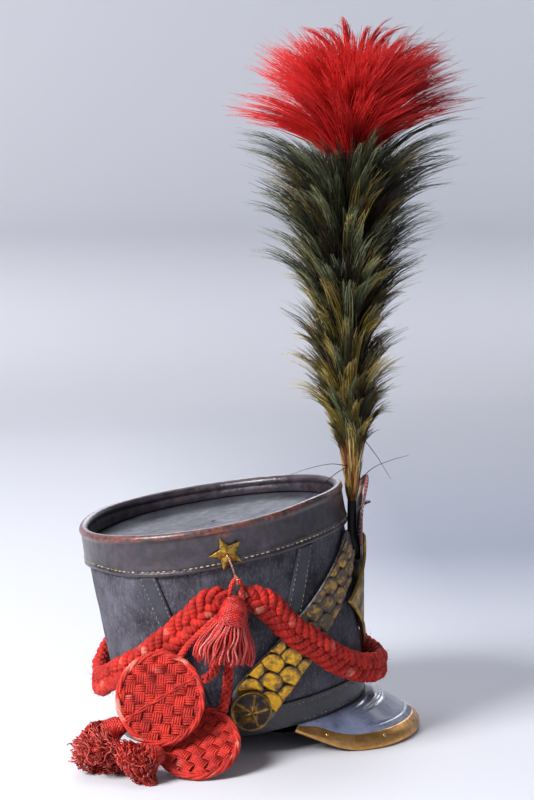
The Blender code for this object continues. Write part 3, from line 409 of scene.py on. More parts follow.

# %% Plain strip, disc and peak leathers
# The strips and the lower band are thin hard leather. The sunken top is thick and dusty. The peak is
# varnished, so it carries a coat, and the varnish has crazed in fine lines. The peak is black leather, but
# its colours are a light blue-grey: painted reflection of the bright studio.
def leather(name, dark, light, gloss_low, gloss_high, cloud_mm, crack_mm, depth_mm, **values):
    made, tree, shader, place, mark = finish(name, **values)
    clouds = patches(tree, place, cloud_mm, 0.32, 0.68, detail=6.0)
    colour = put(tree, "Mix", {0: clouds, 6: ink(dark), 7: ink(light)}, **RGB)
    cells = put(tree, "TexVoronoi", {"Vector": place, "Scale": 1000 / crack_mm}, "Distance",
                feature="DISTANCE_TO_EDGE")
    crack = put(tree, "MapRange", {"Value": cells, "From Max": 0.09, "To Min": 1.0, "To Max": 0.0})
    crack = put(tree, "Math", {0: crack, 1: patches(tree, place, 14, 0.45, 0.7, 0.5)}, operation="MULTIPLY")
    colour = put(tree, "Mix", {0: crack, 6: colour, 7: ink("#17161a")}, **RGB)
    worn = put(tree, "Math", {0: mark, 1: patches(tree, place, 5, 0.35, 0.6)}, operation="MULTIPLY")
    colour = put(tree, "Mix", {0: worn, 6: colour, 7: ink("#8a868c")}, **RGB)
    gloss = patches(tree, place, 9, 0.3, 0.7, gloss_high, least=gloss_low)
    relief = put(tree, "Math", {0: patches(tree, place, 1.8, 0.2, 0.8), 1: crack}, operation="SUBTRACT")
    dressed(tree, shader, colour, relief, depth_mm, gloss)
    return made


STRIP = leather("thin_strip_leather", "#1f2026", "#3c3f4a", 0.34, 0.55, 24, 6, 0.25)
TOP = leather("dusty_top_leather", "#1f2026", "#40424c", 0.36, 0.6, 28, 9, 0.4)
FOOT = leather("waxed_foot_leather", "#0f0f14", "#2b2c37", 0.24, 0.42, 14, 5, 0.5,
               coat_weight=0.4, coat_roughness=0.25)
# Painted reflection: light blue-grey colours on black varnished leather.
PEAK = leather("varnished_peak_leather_painted_reflection", "#5a627c", "#949fbc", 0.24, 0.38, 26, 5, 0.12,
               coat_weight=1.0, coat_roughness=0.12)
STRAP = leather("greyed_strap_leather", "#2c2a2c", "#68635f", 0.45, 0.7, 9, 4, 0.4)
SOCKET = leather("blackened_leather", "#121114", "#26242a", 0.45, 0.65, 12, 4, 0.2)

# %% Brasses
# Stamped sheet brass, lacquered once. Air and hands turn it brown in the hollows and leave it yellow where
# it is rubbed. Where patina lies the metal is rough and dark. The mark says how bare the metal is.
def brass(name, bare, dull, patina, low, high, cloud_mm):
    made, tree, shader, place, mark = finish(name, metallic=1.0)
    stains = patches(tree, place, cloud_mm, low, high, detail=6.0, roughness=0.65)
    stains = put(tree, "Math", {0: stains, 1: mark}, operation="SUBTRACT", use_clamp=True)
    smears = patches(tree, place, cloud_mm * 0.5, 0.3, 0.7)
    tone = put(tree, "Mix", {0: smears, 6: ink(bare), 7: ink(dull)}, **RGB)
    colour = put(tree, "Mix", {0: stains, 6: tone, 7: ink(patina)}, **RGB)
    metal = put(tree, "MapRange", {"Value": stains, "To Min": 1.0, "To Max": 0.45})
    tree.links.new(metal, shader.inputs["Metallic"])
    gloss = put(tree, "MapRange", {"Value": stains, "To Min": 0.28, "To Max": 0.62})
    dressed(tree, shader, colour, patches(tree, place, 2.2, 0.2, 0.8), 0.12, gloss)
    return made


SCALE_BRASS = brass("rubbed_scale_brass", "#e8b238", "#c08d2a", "#5d5146", 0.42, 0.66, 7)
STAR_BRASS = brass("yellow_star_brass", "#c99f45", "#94702c", "#4a3820", 0.44, 0.66, 5)
BOSS_BRASS = brass("dark_boss_brass", "#c99a45", "#8a6a3c", "#352c28", 0.24, 0.52, 8)
TRIM_BRASS = brass("tarnished_trim_brass", "#e0ad68", "#bf8a4c", "#6b5a48", 0.46, 0.74, 14)
PLATE_BRASS = brass("dull_plate_brass", "#c29a4a", "#8f7038", "#4a4540", 0.34, 0.62, 14)
WIRE = brass("reddish_hook_wire", "#d8a48c", "#b98a74", "#7a5648", 0.5, 0.8, 4)

# %% Cords, silk and thread
# Worsted yarn is soft and matt: its sheen brightens the edge of every strand. The lay of each cord, its
# length along in mm and turn round, gives the slanting plies, and the grooves between plies carry painted
# shade. A mark above 0 fades a place to worn pink, and one below 0 darkens it: painted shade in the plaits
# and discs, random tone elsewhere.
def yarn(name, deep, bright, faded, ply_mm, ply_depth, gloss, sheen=0.0):
    made, tree, shader, place, mark = finish(
        name, roughness=gloss, sheen_weight=sheen, sheen_roughness=0.4, sheen_tint=ink("#ff7a66"))
    along, turn = put(tree, "SeparateXYZ", {0: put(tree, "UVMap", {}, uv_map="lay")}).node.outputs[:2]
    turn = put(tree, "Math", {0: turn, 1: 4 * math.pi}, operation="MULTIPLY")
    turn = put(tree, "Math", {0: along, 1: 2 * math.pi / ply_mm, 2: turn}, operation="MULTIPLY_ADD")
    wave = put(tree, "Math", {0: turn}, operation="SINE")
    ply = put(tree, "Math", {0: wave, 1: 0.5, 2: 0.5}, operation="MULTIPLY_ADD")
    clouds = patches(tree, place, 11, 0.3, 0.7)
    colour = put(tree, "Mix", {0: clouds, 6: ink(deep), 7: ink(bright)}, **RGB)
    # Painted shade: the grooves between plies are darkened towards the deep colour.
    painted_ply_shade = put(tree, "MapRange", {"Value": ply, "To Min": 0.35, "To Max": 0.0})
    colour = put(tree, "Mix", {0: painted_ply_shade, 6: colour, 7: ink(deep)}, **RGB)
    spots = patches(tree, place, 3, 0.25, 0.6)
    worn = put(tree, "Math", {0: mark, 1: spots}, operation="MULTIPLY", use_clamp=True)
    colour = put(tree, "Mix", {0: worn, 6: colour, 7: ink(faded)}, **RGB)
    # A mark below 0 darkens a place towards the deep colour: painted shade in the plaits and discs.
    shaded = put(tree, "MapRange", {
        "Value": mark, "From Min": -1.0, "From Max": 0.0, "To Min": 0.8, "To Max": 0.0})
    colour = put(tree, "Mix", {0: shaded, 6: colour, 7: ink(deep)}, **RGB)
    fluff = put(tree, "Math", {0: ply, 1: patches(tree, place, 1.1, 0.2, 0.8)}, operation="ADD")
    dressed(tree, shader, colour, fluff, ply_depth)
    return made


WOOL = yarn("red_worsted_wool", "#860b05", "#de2a17", "#f2a48c", 3.2, 0.55, 0.85, 0.12)
CORD = yarn("red_worsted_cord", "#8c0c07", "#ee3a28", "#f2a08c", 1.7, 0.3, 0.75, 0.12)
SILK = yarn("red_tassel_silk", "#920a08", "#e0281a", "#ee8f84", 2.4, 0.25, 0.4, 0.08)
DARK_SILK = yarn("tangled_tassel_silk", "#8a0b08", "#e02a1a", "#e87868", 1.9, 0.2, 0.45, 0.06)
THREAD = yarn("waxed_linen_thread", "#8a8068", "#d0c6a8", "#3c362c", 1.2, 0.1, 0.7)
WHIPPING = yarn("gold_whipping_thread", "#5a3f1a", "#b5924c", "#efe0a8", 1.2, 0.12, 0.55)

# %% Feathers
# Cock's hackles: stiff narrow blades of fine barbs with a hard shaft. Dyed or natural, they keep a silky
# gloss. Shade and light are painted along each feather, darker at the foot deep in the plume and brighter at
# the tip, and random patches of painted shade darken it. The mark is a random tone per feather plus that
# rise.
def hackle(name, foot, middle, tip, gloss, sheen_code, sheen):
    made, tree, shader, place, mark = finish(
        name, roughness=gloss, sheen_weight=sheen, sheen_roughness=0.3, sheen_tint=ink(sheen_code),
        specular_ior_level=0.22)
    # Painted shade and light: the foot colour is the darkest and the tip colour the lightest.
    low = put(tree, "MapRange", {"Value": mark, "From Max": 0.5})
    high = put(tree, "MapRange", {"Value": mark, "From Min": 0.5})
    colour = put(tree, "Mix", {0: low, 6: ink(foot), 7: ink(middle)}, **RGB)
    colour = put(tree, "Mix", {0: high, 6: colour, 7: ink(tip)}, **RGB)
    shade = patches(tree, place, 9, 0.45, 0.8, 0.3)
    colour = put(tree, "Mix", {0: shade, 6: colour, 7: ink(foot)}, **RGB)
    dressed(tree, shader, colour, patches(tree, place, 1.2, 0.2, 0.8), 0.15)
    return made


GREEN = hackle("silvery_green_hackle", "#0a0b07", "#2b2e19", "#848b68", 0.3, "#c4cfb8", 0.06)
OLIVE = hackle("golden_olive_hackle", "#20190b", "#716026", "#cbb66e", 0.34, "#d8cf9c", 0.06)
BROWN = hackle("brown_black_hackle", "#0a0807", "#2c2016", "#6e6240", 0.28, "#c4bfa8", 0.06)
RUST = hackle("rust_brown_quill", "#241008", "#6b3217", "#a8744a", 0.4, "#e8c8a0", 0.06)
STRAW = hackle("straw_quill", "#33240f", "#a5803e", "#e2d29a", 0.4, "#e8dcb0", 0.06)
RED = hackle("dyed_red_hackle", "#a81312", "#cc2120", "#c62b27", 0.55, "#ff6a70", 0.03)
print("finishes", len(bpy.data.materials))

# %% Pleated cockade silk
# A ribbon of silk, pleated and drawn into a disc. Its rings of colour are woven in the ribbon: dark centre,
# cream middle, red edge, all faded by light. The mark runs from the hole to the edge.
COCKADE, tree, shader, place, mark = finish("faded_cockade_silk", roughness=0.6, sheen_weight=0.3)
dark_ring = put(tree, "MapRange", {"Value": mark, "From Min": 0.33, "From Max": 0.39})
red_ring = put(tree, "MapRange", {"Value": mark, "From Min": 0.62, "From Max": 0.68})
colour = put(tree, "Mix", {0: dark_ring, 6: ink("#3a3138"), 7: ink("#cfc3b0")}, **RGB)
colour = put(tree, "Mix", {0: red_ring, 6: colour, 7: ink("#84454a")}, **RGB)
colour = put(tree, "Mix", {0: patches(tree, place, 12, 0.45, 0.7, 0.6), 6: colour, 7: ink("#5a3a33")}, **RGB)
dressed(tree, shader, colour, patches(tree, place, 1.5, 0.2, 0.8), 0.15)

# %% [markdown]
# ## Camera, floor and light
# The camera looks slightly down on the hat's right side from far away, as a long lens does in a studio. The
# paper under the hat curves up far away. Its colour carries painted shade, darker close round the hat, and a
# painted shadow to the right of the hat and behind it. The key softbox stands high on the left. Others light
# the top, the front, the paper and its far wall, one at the back draws a sheen, and a weak cool light comes
# from everywhere.

# %% Camera
CAMERA_AT, CAMERA_AZIMUTH, CAMERA_DOWN = (-0.24354, -2.4610, 0.6713), 5.38, 8.605
FOCAL_PIXELS, PICTURE_PIXELS, SENSOR_MM = 2827.5, 800, 36.0


def camera():
    az, down = math.radians(CAMERA_AZIMUTH), math.radians(CAMERA_DOWN)
    view = Vector((math.sin(az) * math.cos(down), math.cos(az) * math.cos(down), -math.sin(down)))
    right = Vector((math.cos(az), -math.sin(az), 0.0))
    up = right.cross(view)
    lens = bpy.data.cameras.new("camera")
    lens.sensor_width = SENSOR_MM
    lens.sensor_fit = "VERTICAL"
    lens.sensor_height = SENSOR_MM
    lens.lens = FOCAL_PIXELS / PICTURE_PIXELS * SENSOR_MM
    lens.clip_end = 50.0
    made = bpy.data.objects.new("camera", lens)
    turned = Matrix((right, up, -view)).transposed().to_4x4()
    made.matrix_world = Matrix.Translation(CAMERA_AT) @ turned
    bpy.context.scene.collection.objects.link(made)
    bpy.context.scene.camera = made
    return made


view_camera = camera()

# %% Paper sweep
# Radii in metres of the flat paper, of its curve and of the wall that it rises to.
FLAT, CURVE, WALL = 5.0, 1.6, 6.6


def sweep():
    line = [(r, 0.0) for r in np.linspace(0.02, FLAT, 30)]
    for b in np.linspace(0, math.pi / 2, 14)[1:]:
        line.append((FLAT + CURVE * math.sin(b), CURVE * (1 - math.cos(b))))
    line += [(WALL, 2.6), (WALL, 4.2)]
    points = np.array([[(r * math.cos(b), r * math.sin(b), z - 0.0002) for b in circle(96)] for r, z in line])
    mesh = bpy.data.meshes.new("paper_sweep")
    faces = grid_faces(len(line), 96, wrap_cols=True)
    mesh.from_pydata(points.reshape(-1, 3).tolist(), [], faces[:, ::-1].tolist() + [list(range(96))])
    mesh.polygons.foreach_set("use_smooth", np.full(len(mesh.polygons), True))
    made = bpy.data.objects.new("paper_sweep", mesh)
    bpy.context.scene.collection.objects.link(made)
    paper, tree, shader, place, _ = finish("matt_paper_painted_shade", roughness=0.9, specular_ior_level=0.2)
    # Painted shade and light: the paper is darker close round the hat, lightest some way off, and a little
    # greyer at the far wall.
    flat = put(tree, "VectorMath", {0: place, 1: (1.0, 1.0, 0.6)}, operation="MULTIPLY")
    far = put(tree, "VectorMath", {0: flat}, "Value", operation="LENGTH")
    near = put(tree, "MapRange", {"Value": far, "From Min": 0.25, "From Max": 1.6})
    far_painted_falloff = put(tree, "MapRange", {"Value": far, "From Min": 1.6, "From Max": WALL})
    colour = put(tree, "Mix", {0: near, 6: ink("#d6d8dd"), 7: ink("#e6e8ee")}, **RGB)
    colour = put(tree, "Mix", {0: far_painted_falloff, 6: colour, 7: ink("#e0e2e8")}, **RGB)
    # Painted shadow: grey to the right of the hat and behind it. Farther back it gives way to painted shade
    # that greys the paper towards the right.
    across = put(tree, "SeparateXYZ", {0: place})
    back = across.node.outputs[1]
    beside = put(tree, "MapRange", {"Value": across, "From Min": -0.1, "From Max": 0.25})
    behind = put(tree, "MapRange", {"Value": back, "From Min": 0.1, "From Max": 0.75})
    far_shade_blend = put(tree, "MapRange", {"Value": back, "From Min": 0.8, "From Max": 2.0})
    wide = put(tree, "MapRange", {"Value": across, "From Min": -0.9, "From Max": 0.9, "To Max": 0.26})
    close = put(tree, "Math", {0: beside, 1: behind}, operation="MULTIPLY")
    dull = put(tree, "Mix", {0: far_shade_blend, 2: close, 3: wide})
    colour = put(tree, "Mix", {0: dull, 6: colour, 7: ink("#9fa6b3")}, **RGB)
    dressed(tree, shader, colour, patches(tree, place, 3, 0.3, 0.7), 0.02)
    mesh.materials.append(paper)


sweep()

# %% Softboxes
def softbox(name, at, towards, width, height, watts, code):
    light = bpy.data.lights.new(name, "AREA")
    light.shape = "RECTANGLE"
    light.size, light.size_y = width, height
    light.energy = watts
    light.color = ink(code)[:3]
    made = bpy.data.objects.new(name, light)
    made.location = at
    made.rotation_euler = (Vector(towards) - Vector(at)).to_track_quat("-Z", "Y").to_euler()
    bpy.context.scene.collection.objects.link(made)
    return made


# Place and aim in metres, width and height in metres, watts and colour.
softbox("key_softbox", (-1.8, -1.15, 1.5), (0.0, 0.0, 0.2), 0.9, 0.9, 106.0, "#fdfbfd")
softbox("top_softbox", (-0.5, 0.7, 2.7), (0.0, 0.0, 0.2), 2.2, 2.0, 22.0, "#f4f5ff")
softbox("front_fill", (0.7, -2.4, 0.9), (0.0, 0.0, 0.25), 1.4, 1.2, 2.5, "#f4f5ff")
sheen = softbox("sheen_softbox", (0.5, 3.0, 1.8), (0.0, 0.0, 0.2), 2.8, 1.0, 5.4, "#eef2ff")
sheen.data.spread = math.radians(50)
softbox("left_floor_light", (-2.4, 1.6, 1.9), (-0.6, 3.4, 0.0), 1.6, 1.6, 15.0, "#f8f7fa")
softbox("right_floor_light", (2.6, 1.8, 1.9), (0.8, 3.6, 0.0), 1.6, 1.6, 12.0, "#f8f7fa")
softbox("left_wall_light", (-2.2, 2.4, 1.8), (-1.2, 6.5, 1.4), 2.0, 2.0, 84.0, "#f8f7fa")
softbox("right_wall_light", (2.4, 2.4, 1.8), (1.6, 6.5, 1.4), 2.0, 2.0, 40.0, "#f6f6fa")
sky = bpy.data.worlds.new("studio_air")
sky.use_nodes = True
sky.node_tree.nodes["Background"].inputs["Color"].default_value = ink("#ebedf4")
sky.node_tree.nodes["Background"].inputs["Strength"].default_value = 0.17
bpy.context.scene.world = sky
bpy.context.scene.view_settings.view_transform = "Standard"
print("camera at", [round(v, 3) for v in view_camera.location])

# %% [markdown]
# ## The hat's body
# A shako is a felt tube stiffened with leather: a deep band round the top that turns over the rim and down
# inside, a sunken top, a narrow band at the foot and V-shaped strips on the sides. Each is a closed profile
# carried round the hat, so thickness, hem and rolled rim are real surfaces and catch the light.

# %% Felt wall
ROUND = np.arange(0.0, 360.0, 1.25)


def ring(heap, profile, angles=ROUND, mark=0.0, floor=None):
    """Closed band carried round the hat; profile gives off and height for a column of angles."""
    off, h = np.broadcast_arrays(*profile(angles[:, None]))
    points = skin(angles[:, None], h, off)
    if floor is not None:
        points[..., 2] = np.maximum(points[..., 2], floor)
    return heap.add(points, grid_faces(*off.shape, wrap_rows=True, wrap_cols=True), mark, solid=True)


def felt_profile(a):
    low, high, outer_rows, inner_rows = 0.8, HAT_HEIGHT - 8.4, 40, 8
    rise = np.linspace(low, high, outer_rows)
    h = np.concatenate([rise, np.linspace(high, low, inner_rows)])[None, :] + 0 * a
    outside = (np.arange(outer_rows + inner_rows) < outer_rows)[None, :]
    place = skin(a, h, 0.0)
    dents = 0.45 * rough(place, 17.0) + 0.22 * rough(place * (1, 1, 0.35), 4.5, 7.0)
    fade = np.clip(h / 12.0, 0, 1)
    return np.where(outside, dents * fade, -FELT_THICK), h


piece("felt_wall", ring(Heap(), felt_profile), FELT, ["crown_body"])

# %% Top band with its rolled rim
def rows_of(*pairs):
    """Stacks (off, height) rows of a profile into two arrays."""
    return [np.concatenate(np.broadcast_arrays(*part), axis=1) for part in zip(*pairs)]


# Distance off the felt and height of the band's stitched hem, above its lower edge.
BAND_HEM = [
    (0.4, 0.0), (3.1, 0.0), (3.55, 0.5), (3.6, 1.6), (3.5, 2.9), (3.0, 3.5), (2.75, 4.3), (2.7, 5.0),
    (2.85, 5.7), (3.15, 6.3), (2.9, 7.2),
]
RIM_RADIUS, RIM_OFF = 4.1, -1.8


def band_profile(a):
    lift = band_edge(a)
    top, low = HAT_HEIGHT + lift[..., 0], HAT_HEIGHT - BAND_DEPTH + lift[..., 1]
    pairs = [(off + 0 * a, low + up) for off, up in BAND_HEM]
    for t in np.linspace(0, 1, 14)[1:]:
        pairs.append((2.7 - 1.5 * t + 0 * a, low + 7.2 + (top - 7.2 - low - 7.2) * t))
    for phi in np.linspace(-0.55, np.pi + 0.45, 19):
        off = RIM_OFF + RIM_RADIUS * math.cos(phi)
        pairs.append((off + 0 * a, top - RIM_RADIUS + RIM_RADIUS * math.sin(phi)))
    foot = HAT_HEIGHT - LIP_DEPTH
    for t in np.linspace(0, 1, 8):
        pairs.append((-4.5 - 0.5 * math.sin(math.pi * t) + 0 * a, top - 7.0 + (foot - top + 7.0) * t))
    for off, up in ((LIP_OFF, 0.0), (LIP_OFF, 9.0), (0.4, 9.0)):
        pairs.append((off + 0 * a, foot + up + 0 * a))
    off, h = rows_of(*pairs)
    place = skin(a, h, 0.0)
    shell = (np.arange(off.shape[1]) > 0) & (np.arange(off.shape[1]) < off.shape[1] - 3)
    dents = 0.28 * rough(place, 12.0, 3.0) + 0.12 * rough(place, 4.0, 5.0)
    return off + np.where(shell, dents, 0.0), h


def rubbed(a):
    """How worn the band is: along the rim, most at the rear, near the star and on the far side."""
    lift = band_edge(a)
    off, h = band_profile(a)
    down = HAT_HEIGHT + lift[..., 0] - h
    turned = (a + 180.0) % 360.0 - 180.0
    where = 0.6 + 0.5 * np.exp(-((turned + 152) / 17) ** 2) + 0.3 * np.exp(-((turned + 92) / 9) ** 2)
    where = where + 0.3 * np.exp(-((turned - 75) / 50) ** 2) + 0.15 * np.exp(-((turned + 118) / 14) ** 2)
    rim = np.exp(-(np.maximum(down - 2.5, 0.0) / 4.6) ** 2) * np.clip((off + 5.2) / 3.0, 0, 1)
    patch = np.exp(-((turned + 88.5) / 4.2) ** 2 - ((down - 7.5) / 4.0) ** 2)
    return np.clip(np.maximum(rim * where * 1.25, 0.95 * patch), 0, 1)


piece("top_band_leather", ring(Heap(), band_profile, mark=rubbed(ROUND[:, None])), BAND, ["top_band"])

# %% Sunken top
TOP_DEPTH, TOP_THICK = 16.6, 2.0


def top_surface(share, drop):
    a = ROUND[None, ::2]
    edge = skin(a, 0 * a + HAT_HEIGHT - TOP_DEPTH, LIP_OFF)
    middle = edge.mean(axis=1, keepdims=True)
    place = middle + (edge - middle) * share
    hump = 2.6 * np.exp(-((share[..., 0] / 0.1) ** 2)) - 2.0 * (1 - share[..., 0] ** 4)
    wave = 0.9 * np.sin(2 * np.radians(a) + 0.6) * share[..., 0] * (1 - share[..., 0]) * 4
    wave = wave + 0.5 * rough(place, 30.0, 2.0) * (1 - share[..., 0] ** 6)
    return place + (hump + wave - drop)[..., None] * (-math.sin(TILT), 0.0, math.cos(TILT))


shares = np.concatenate([[0.012, 0.03, 0.05, 0.08], np.linspace(0.11, 1.0, 24)])[:, None, None]
rounds = np.concatenate([top_surface(shares, 0.0), top_surface(shares, TOP_THICK)[::-1]])
rows, cols = rounds.shape[:2]
heap = Heap().add(rounds, grid_faces(rows, cols, wrap_cols=True), solid=True).close_ends(rows, cols, -1)
piece("sunken_top_leather", heap, TOP, ["crown_disc"])

# %% Lower band
# Distance off the felt and height of the band's outline.
FOOT_OUTLINE = [
    (0.4, 0.0), (1.7, 0.0), (2.0, 0.5), (2.05, 6.0), (2.1, 12.0), (2.05, 16.0), (1.85, 17.2), (1.8, 18.4),
    (1.95, 19.4), (2.0, 20.8), (1.7, 21.8), (1.2, 22.0), (0.4, 22.0),
]


def foot_profile(a):
    off, h = rows_of(*[(off + 0 * a, up + 0 * a) for off, up in FOOT_OUTLINE])
    return off + np.where(off > 1.0, 0.12 * rough(skin(a, h, 0.0), 7.0, 9.0), 0.0), h


piece("lower_band_leather", ring(Heap(), foot_profile, floor=0.0), FOOT, ["lower_band"])

# %% [markdown]
# ## Stitching
# A saddler's stitch is one short thread lying on the leather and diving at both ends. A seam is made of such
# stitches at their real pitch, each a small tube bent into the surface, so that rows read as dots of thread.

# %% Rows of stitches
def seam(heap, angle, h, off, pitch, length, radius, seed=1):
    """Stitches along a line on the hat given by arrays of angle, height and distance off the felt."""
    line = skin(angle, h, off)
    out = skin(angle, h, off + 1.0) - line
    run = walked(line)
    chance = np.random.default_rng(seed)
    starts = np.arange(pitch / 2, run[-1] - length, pitch)
    starts = starts + chance.uniform(-0.06, 0.06, len(starts)) * pitch
    t = np.linspace(0, 1, 6)
    at = starts[:, None] + length * t[None, :]
    paths = np.stack([np.interp(at, run, line[:, k]) for k in range(3)], -1)
    lifts = np.stack([np.interp(at, run, out[:, k]) for k in range(3)], -1)
    paths = paths + lifts * (radius * np.array([-1.2, 0.3, 0.8, 0.8, 0.3, -1.2]))[None, :, None]
    radii = radius * np.array([0.5, 0.9, 1.0, 1.0, 0.9, 0.5])
    tubes(heap, paths, radii, 5, chance.uniform(-0.8, 1.2, (len(starts), 1)))
    return len(starts)


heap = Heap()
around = np.linspace(-180.0, 180.0, 721)
edges = band_edge(around)[..., 1]
made = seam(heap, around, HAT_HEIGHT - BAND_DEPTH + edges + 4.7, 2.85, 4.9, 3.3, 0.6)
piece("top_band_stitches", heap, THREAD)
heap = Heap()
made += seam(heap, around, 0 * around + 18.0, 1.85, 4.2, 2.5, 0.3, seed=2)
piece("lower_band_stitches", heap, THREAD)
print("stitches", made)

# %% Side strips with two seams each
# Height up the hat and degrees from the front of each strip's middle line.
STRIP_HALF, STRIP_FOOT = 8.0, 22.6
STRIPS = {
    "front": [(152.0, 51.6), (110.0, 59.5), (22.6, 76.0)],
    "rear": [(152.0, 125.4), (106.0, 119.6), (22.6, 108.5)],
}


def side_strip(which, mirrored):
    side = "left" if mirrored else "right"
    table = STRIPS[which]
    edge = band_edge((1 if mirrored else -1) * table[0][1])[1]
    h = np.linspace(STRIP_FOOT, HAT_HEIGHT - BAND_DEPTH + edge - 0.4, 56)[:, None]
    middle = smooth(table, h)[..., 0]
    across = np.linspace(-1, 1, 11)[None, :]
    turn = middle + across * STRIP_HALF / girth(middle)
    rounding = 0.5 * np.clip((np.abs(across) - 0.86) / 0.14, 0, 1) ** 2
    bed = 0.18 * np.exp(-((np.abs(across) - 0.74) / 0.09) ** 2)
    top = skin(-turn, h, 2.0 - rounding - bed + 0.1 * rough(skin(-turn, h, 0.0), 8.0))
    heap = Heap().add(*sheet_between(top, skin(-turn, h, 0.35)), solid=True)
    name = f"chevron_{which}_{side}"
    piece(name + "_strip", heap, STRIP, [name], mirrored=mirrored)
    threads = Heap()
    for w in (-0.74, 0.74):
        turn = middle[:, 0] + w * STRIP_HALF / girth(middle[:, 0])
        seam(threads, -turn, h[:, 0], 1.9, 4.4, 2.7, 0.3, seed=3)
    piece(name + "_stitches", threads, THREAD, mirrored=mirrored)


for mirrored in (False, True):
    for which in STRIPS:
        side_strip(which, mirrored)

# %% [markdown]
# ## Chin scales, bosses and star hooks
# The chin strap is folded up to the front. Its brass scales are lobed leaves in rows, each row lying over
# the next one away from the boss. Each lobe is modelled as a thin domed leaf with its own share of patina,
# because the dark lines between lobes are real gaps. The boss carries a plain star-shaped rosette.

# %% Chin strap
# Degrees from the front, height and width of the strap, from the boss to its end.
STRAP_PATH = [
    (90.0, 19.0, 40.0), (87.4, 24.1, 42.0), (81.0, 37.5, 42.0), (70.0, 56.3, 39.5), (59.6, 73.7, 35.5),
    (47.7, 92.7, 31.5), (31.7, 117.6, 28.0), (20.5, 135.0, 25.0), (13.5, 149.0, 22.0),
]
# The same rows after their distance along the strap.
STRAP_ROWS = [(0.0, *STRAP_PATH[0])]
for before, here in zip(STRAP_PATH, STRAP_PATH[1:]):
    step = math.hypot((here[0] - before[0]) * float(girth(here[0])), here[1] - before[1])
    STRAP_ROWS.append((STRAP_ROWS[-1][0] + step, *here))
STRAP_END = STRAP_ROWS[-1][0]


def strap_place(run, across, off):
    here, ahead, behind = (smooth(STRAP_ROWS, run + step) for step in (0.0, 1.0, -1.0))
    round_mm = girth(here[..., 0])
    dx = (ahead[..., 0] - behind[..., 0]) * round_mm
    dh = ahead[..., 1] - behind[..., 1]
    length = np.hypot(dx, dh)
    reach = across * here[..., 2] / 2
    return skin(-(here[..., 0] + reach * dh / length / round_mm), here[..., 1] - reach * dx / length, off)


def strap_leather(mirrored):
    side = "left" if mirrored else "right"
    run = np.linspace(0.0, STRAP_END, 90)[:, None]
    near = np.minimum(run, STRAP_END - run)
    narrow = np.sqrt(np.clip(1 - (1 - np.clip(near / 12.0, 0, 1)) ** 2, 0.08, 1.0))
    across = np.linspace(-1, 1, 15)[None, :] * narrow
    wide = np.abs(np.linspace(-1, 1, 15))[None, :] + 0 * run
    place = strap_place(run, across, 0.0)
    top = strap_place(run, across, 4.5 + 0.25 * rough(place, 9.0) + 0.5 * wide ** 6)
    heap = Heap().add(*sheet_between(top, strap_place(run, across, 3.0 + 0.4 * wide ** 6)), solid=True)
    heap.marks[-1] = np.tile((np.clip((wide - 0.8) / 0.15, 0, 1)).reshape(-1), 2)
    piece(f"chin_strap_{side}_leather", heap, STRAP, [f"chin_strap_{side}"], mirrored=mirrored)


# %% Overlapping brass scales
SCALE_ROWS, FIRST_ROW, LAST_ROOM, SCALE_THICK = 12, 23.0, 27.0, 0.75
# Each lobe's middle across the strap, and which part of the lobe there is, in even rows and in odd ones.
LOBES = [
    [(-0.5, -1, 1), (0.5, -1, 1)],
    [(0.0, -1, 1), (-1.0, 0.06, 1), (1.0, -1, -0.06)],
]


def scale_leaves(mirrored):
    side = "left" if mirrored else "right"
    pitch = (STRAP_END - LAST_ROOM) / SCALE_ROWS
    chance = np.random.default_rng(5)
    heap = Heap()
    for k in range(SCALE_ROWS):
        start = FIRST_ROW + pitch * k
        half_mm = float(smooth(STRAP_ROWS, start)[..., 2]) / 4
        for middle, low, high in LOBES[k % 2]:
            u = np.linspace(low, high, 13 if high - low > 1.5 else 8)[None, :] * 0.97
            v = np.linspace(0, 1, 9)[:, None] ** 0.8
            root = start - 0.62 * pitch
            tip = start - 0.5 + (half_mm * 0.82) * np.sqrt(np.clip(1 - u ** 2, 0.0, 1))
            run = np.minimum(root + (tip - root) * v, STRAP_END - 1.5)
            curl = 0.35 * np.clip((v - 0.86) / 0.14, 0, 1) * (1 - u ** 2) ** 0.5
            crown = 0.85 * (1 - u ** 2) * v ** 0.5 - curl
            top = 5.75 + 1.5 * v + crown + chance.uniform(-0.1, 0.1)
            across = np.clip(middle + 0.5 * u, -0.97, 0.97)
            lower = strap_place(run, across, top - SCALE_THICK)
            points, faces = sheet_between(strap_place(run, across, top), lower)
            bare = (0.3 - 0.07 * k if k < 5 else -0.45) + chance.uniform(-0.12, 0.1)
            rimmed = 0.75 * np.maximum(np.abs(u) ** 5, v ** 7) + 0 * run
            heap.add(points, faces, np.tile((bare - rimmed).reshape(-1), 2), solid=True)
    piece(f"chin_scales_{side}_leaves", heap, SCALE_BRASS, [f"chin_scales_{side}"], mirrored=mirrored)


for mirrored in (False, True):
    strap_leather(mirrored)
    scale_leaves(mirrored)

# %% Bosses
def facing_out(angle, h):
    """Unit axis out of the felt, and the directions up and along it."""
    round_ = skin(angle + 4.0, h, 0.0) - skin(angle - 4.0, h, 0.0)
    rise = skin(angle, h + 8.0, 0.0) - skin(angle, h - 8.0, 0.0)
    out = unit(np.cross(round_, rise))
    up = unit(rise - out * (rise @ out))
    return out, up, np.cross(up, out)


def turned_body(centre, axes, radii, lifts, columns):
    """Closed round body: radii and lifts are (rows, columns), from the hidden middle to the outer middle."""
    out, up, along = axes
    a = circle(columns)
    flat = np.cos(a)[:, None] * up + np.sin(a)[:, None] * along
    points = centre + radii[..., None] * flat[None] + lifts[..., None] * out
    rows = len(points)
    heap = Heap().add(points, grid_faces(rows, columns, wrap_cols=True), solid=True)
    return heap.close_ends(rows, columns, -1)


BOSS_AT = (-87.4, 24.1)
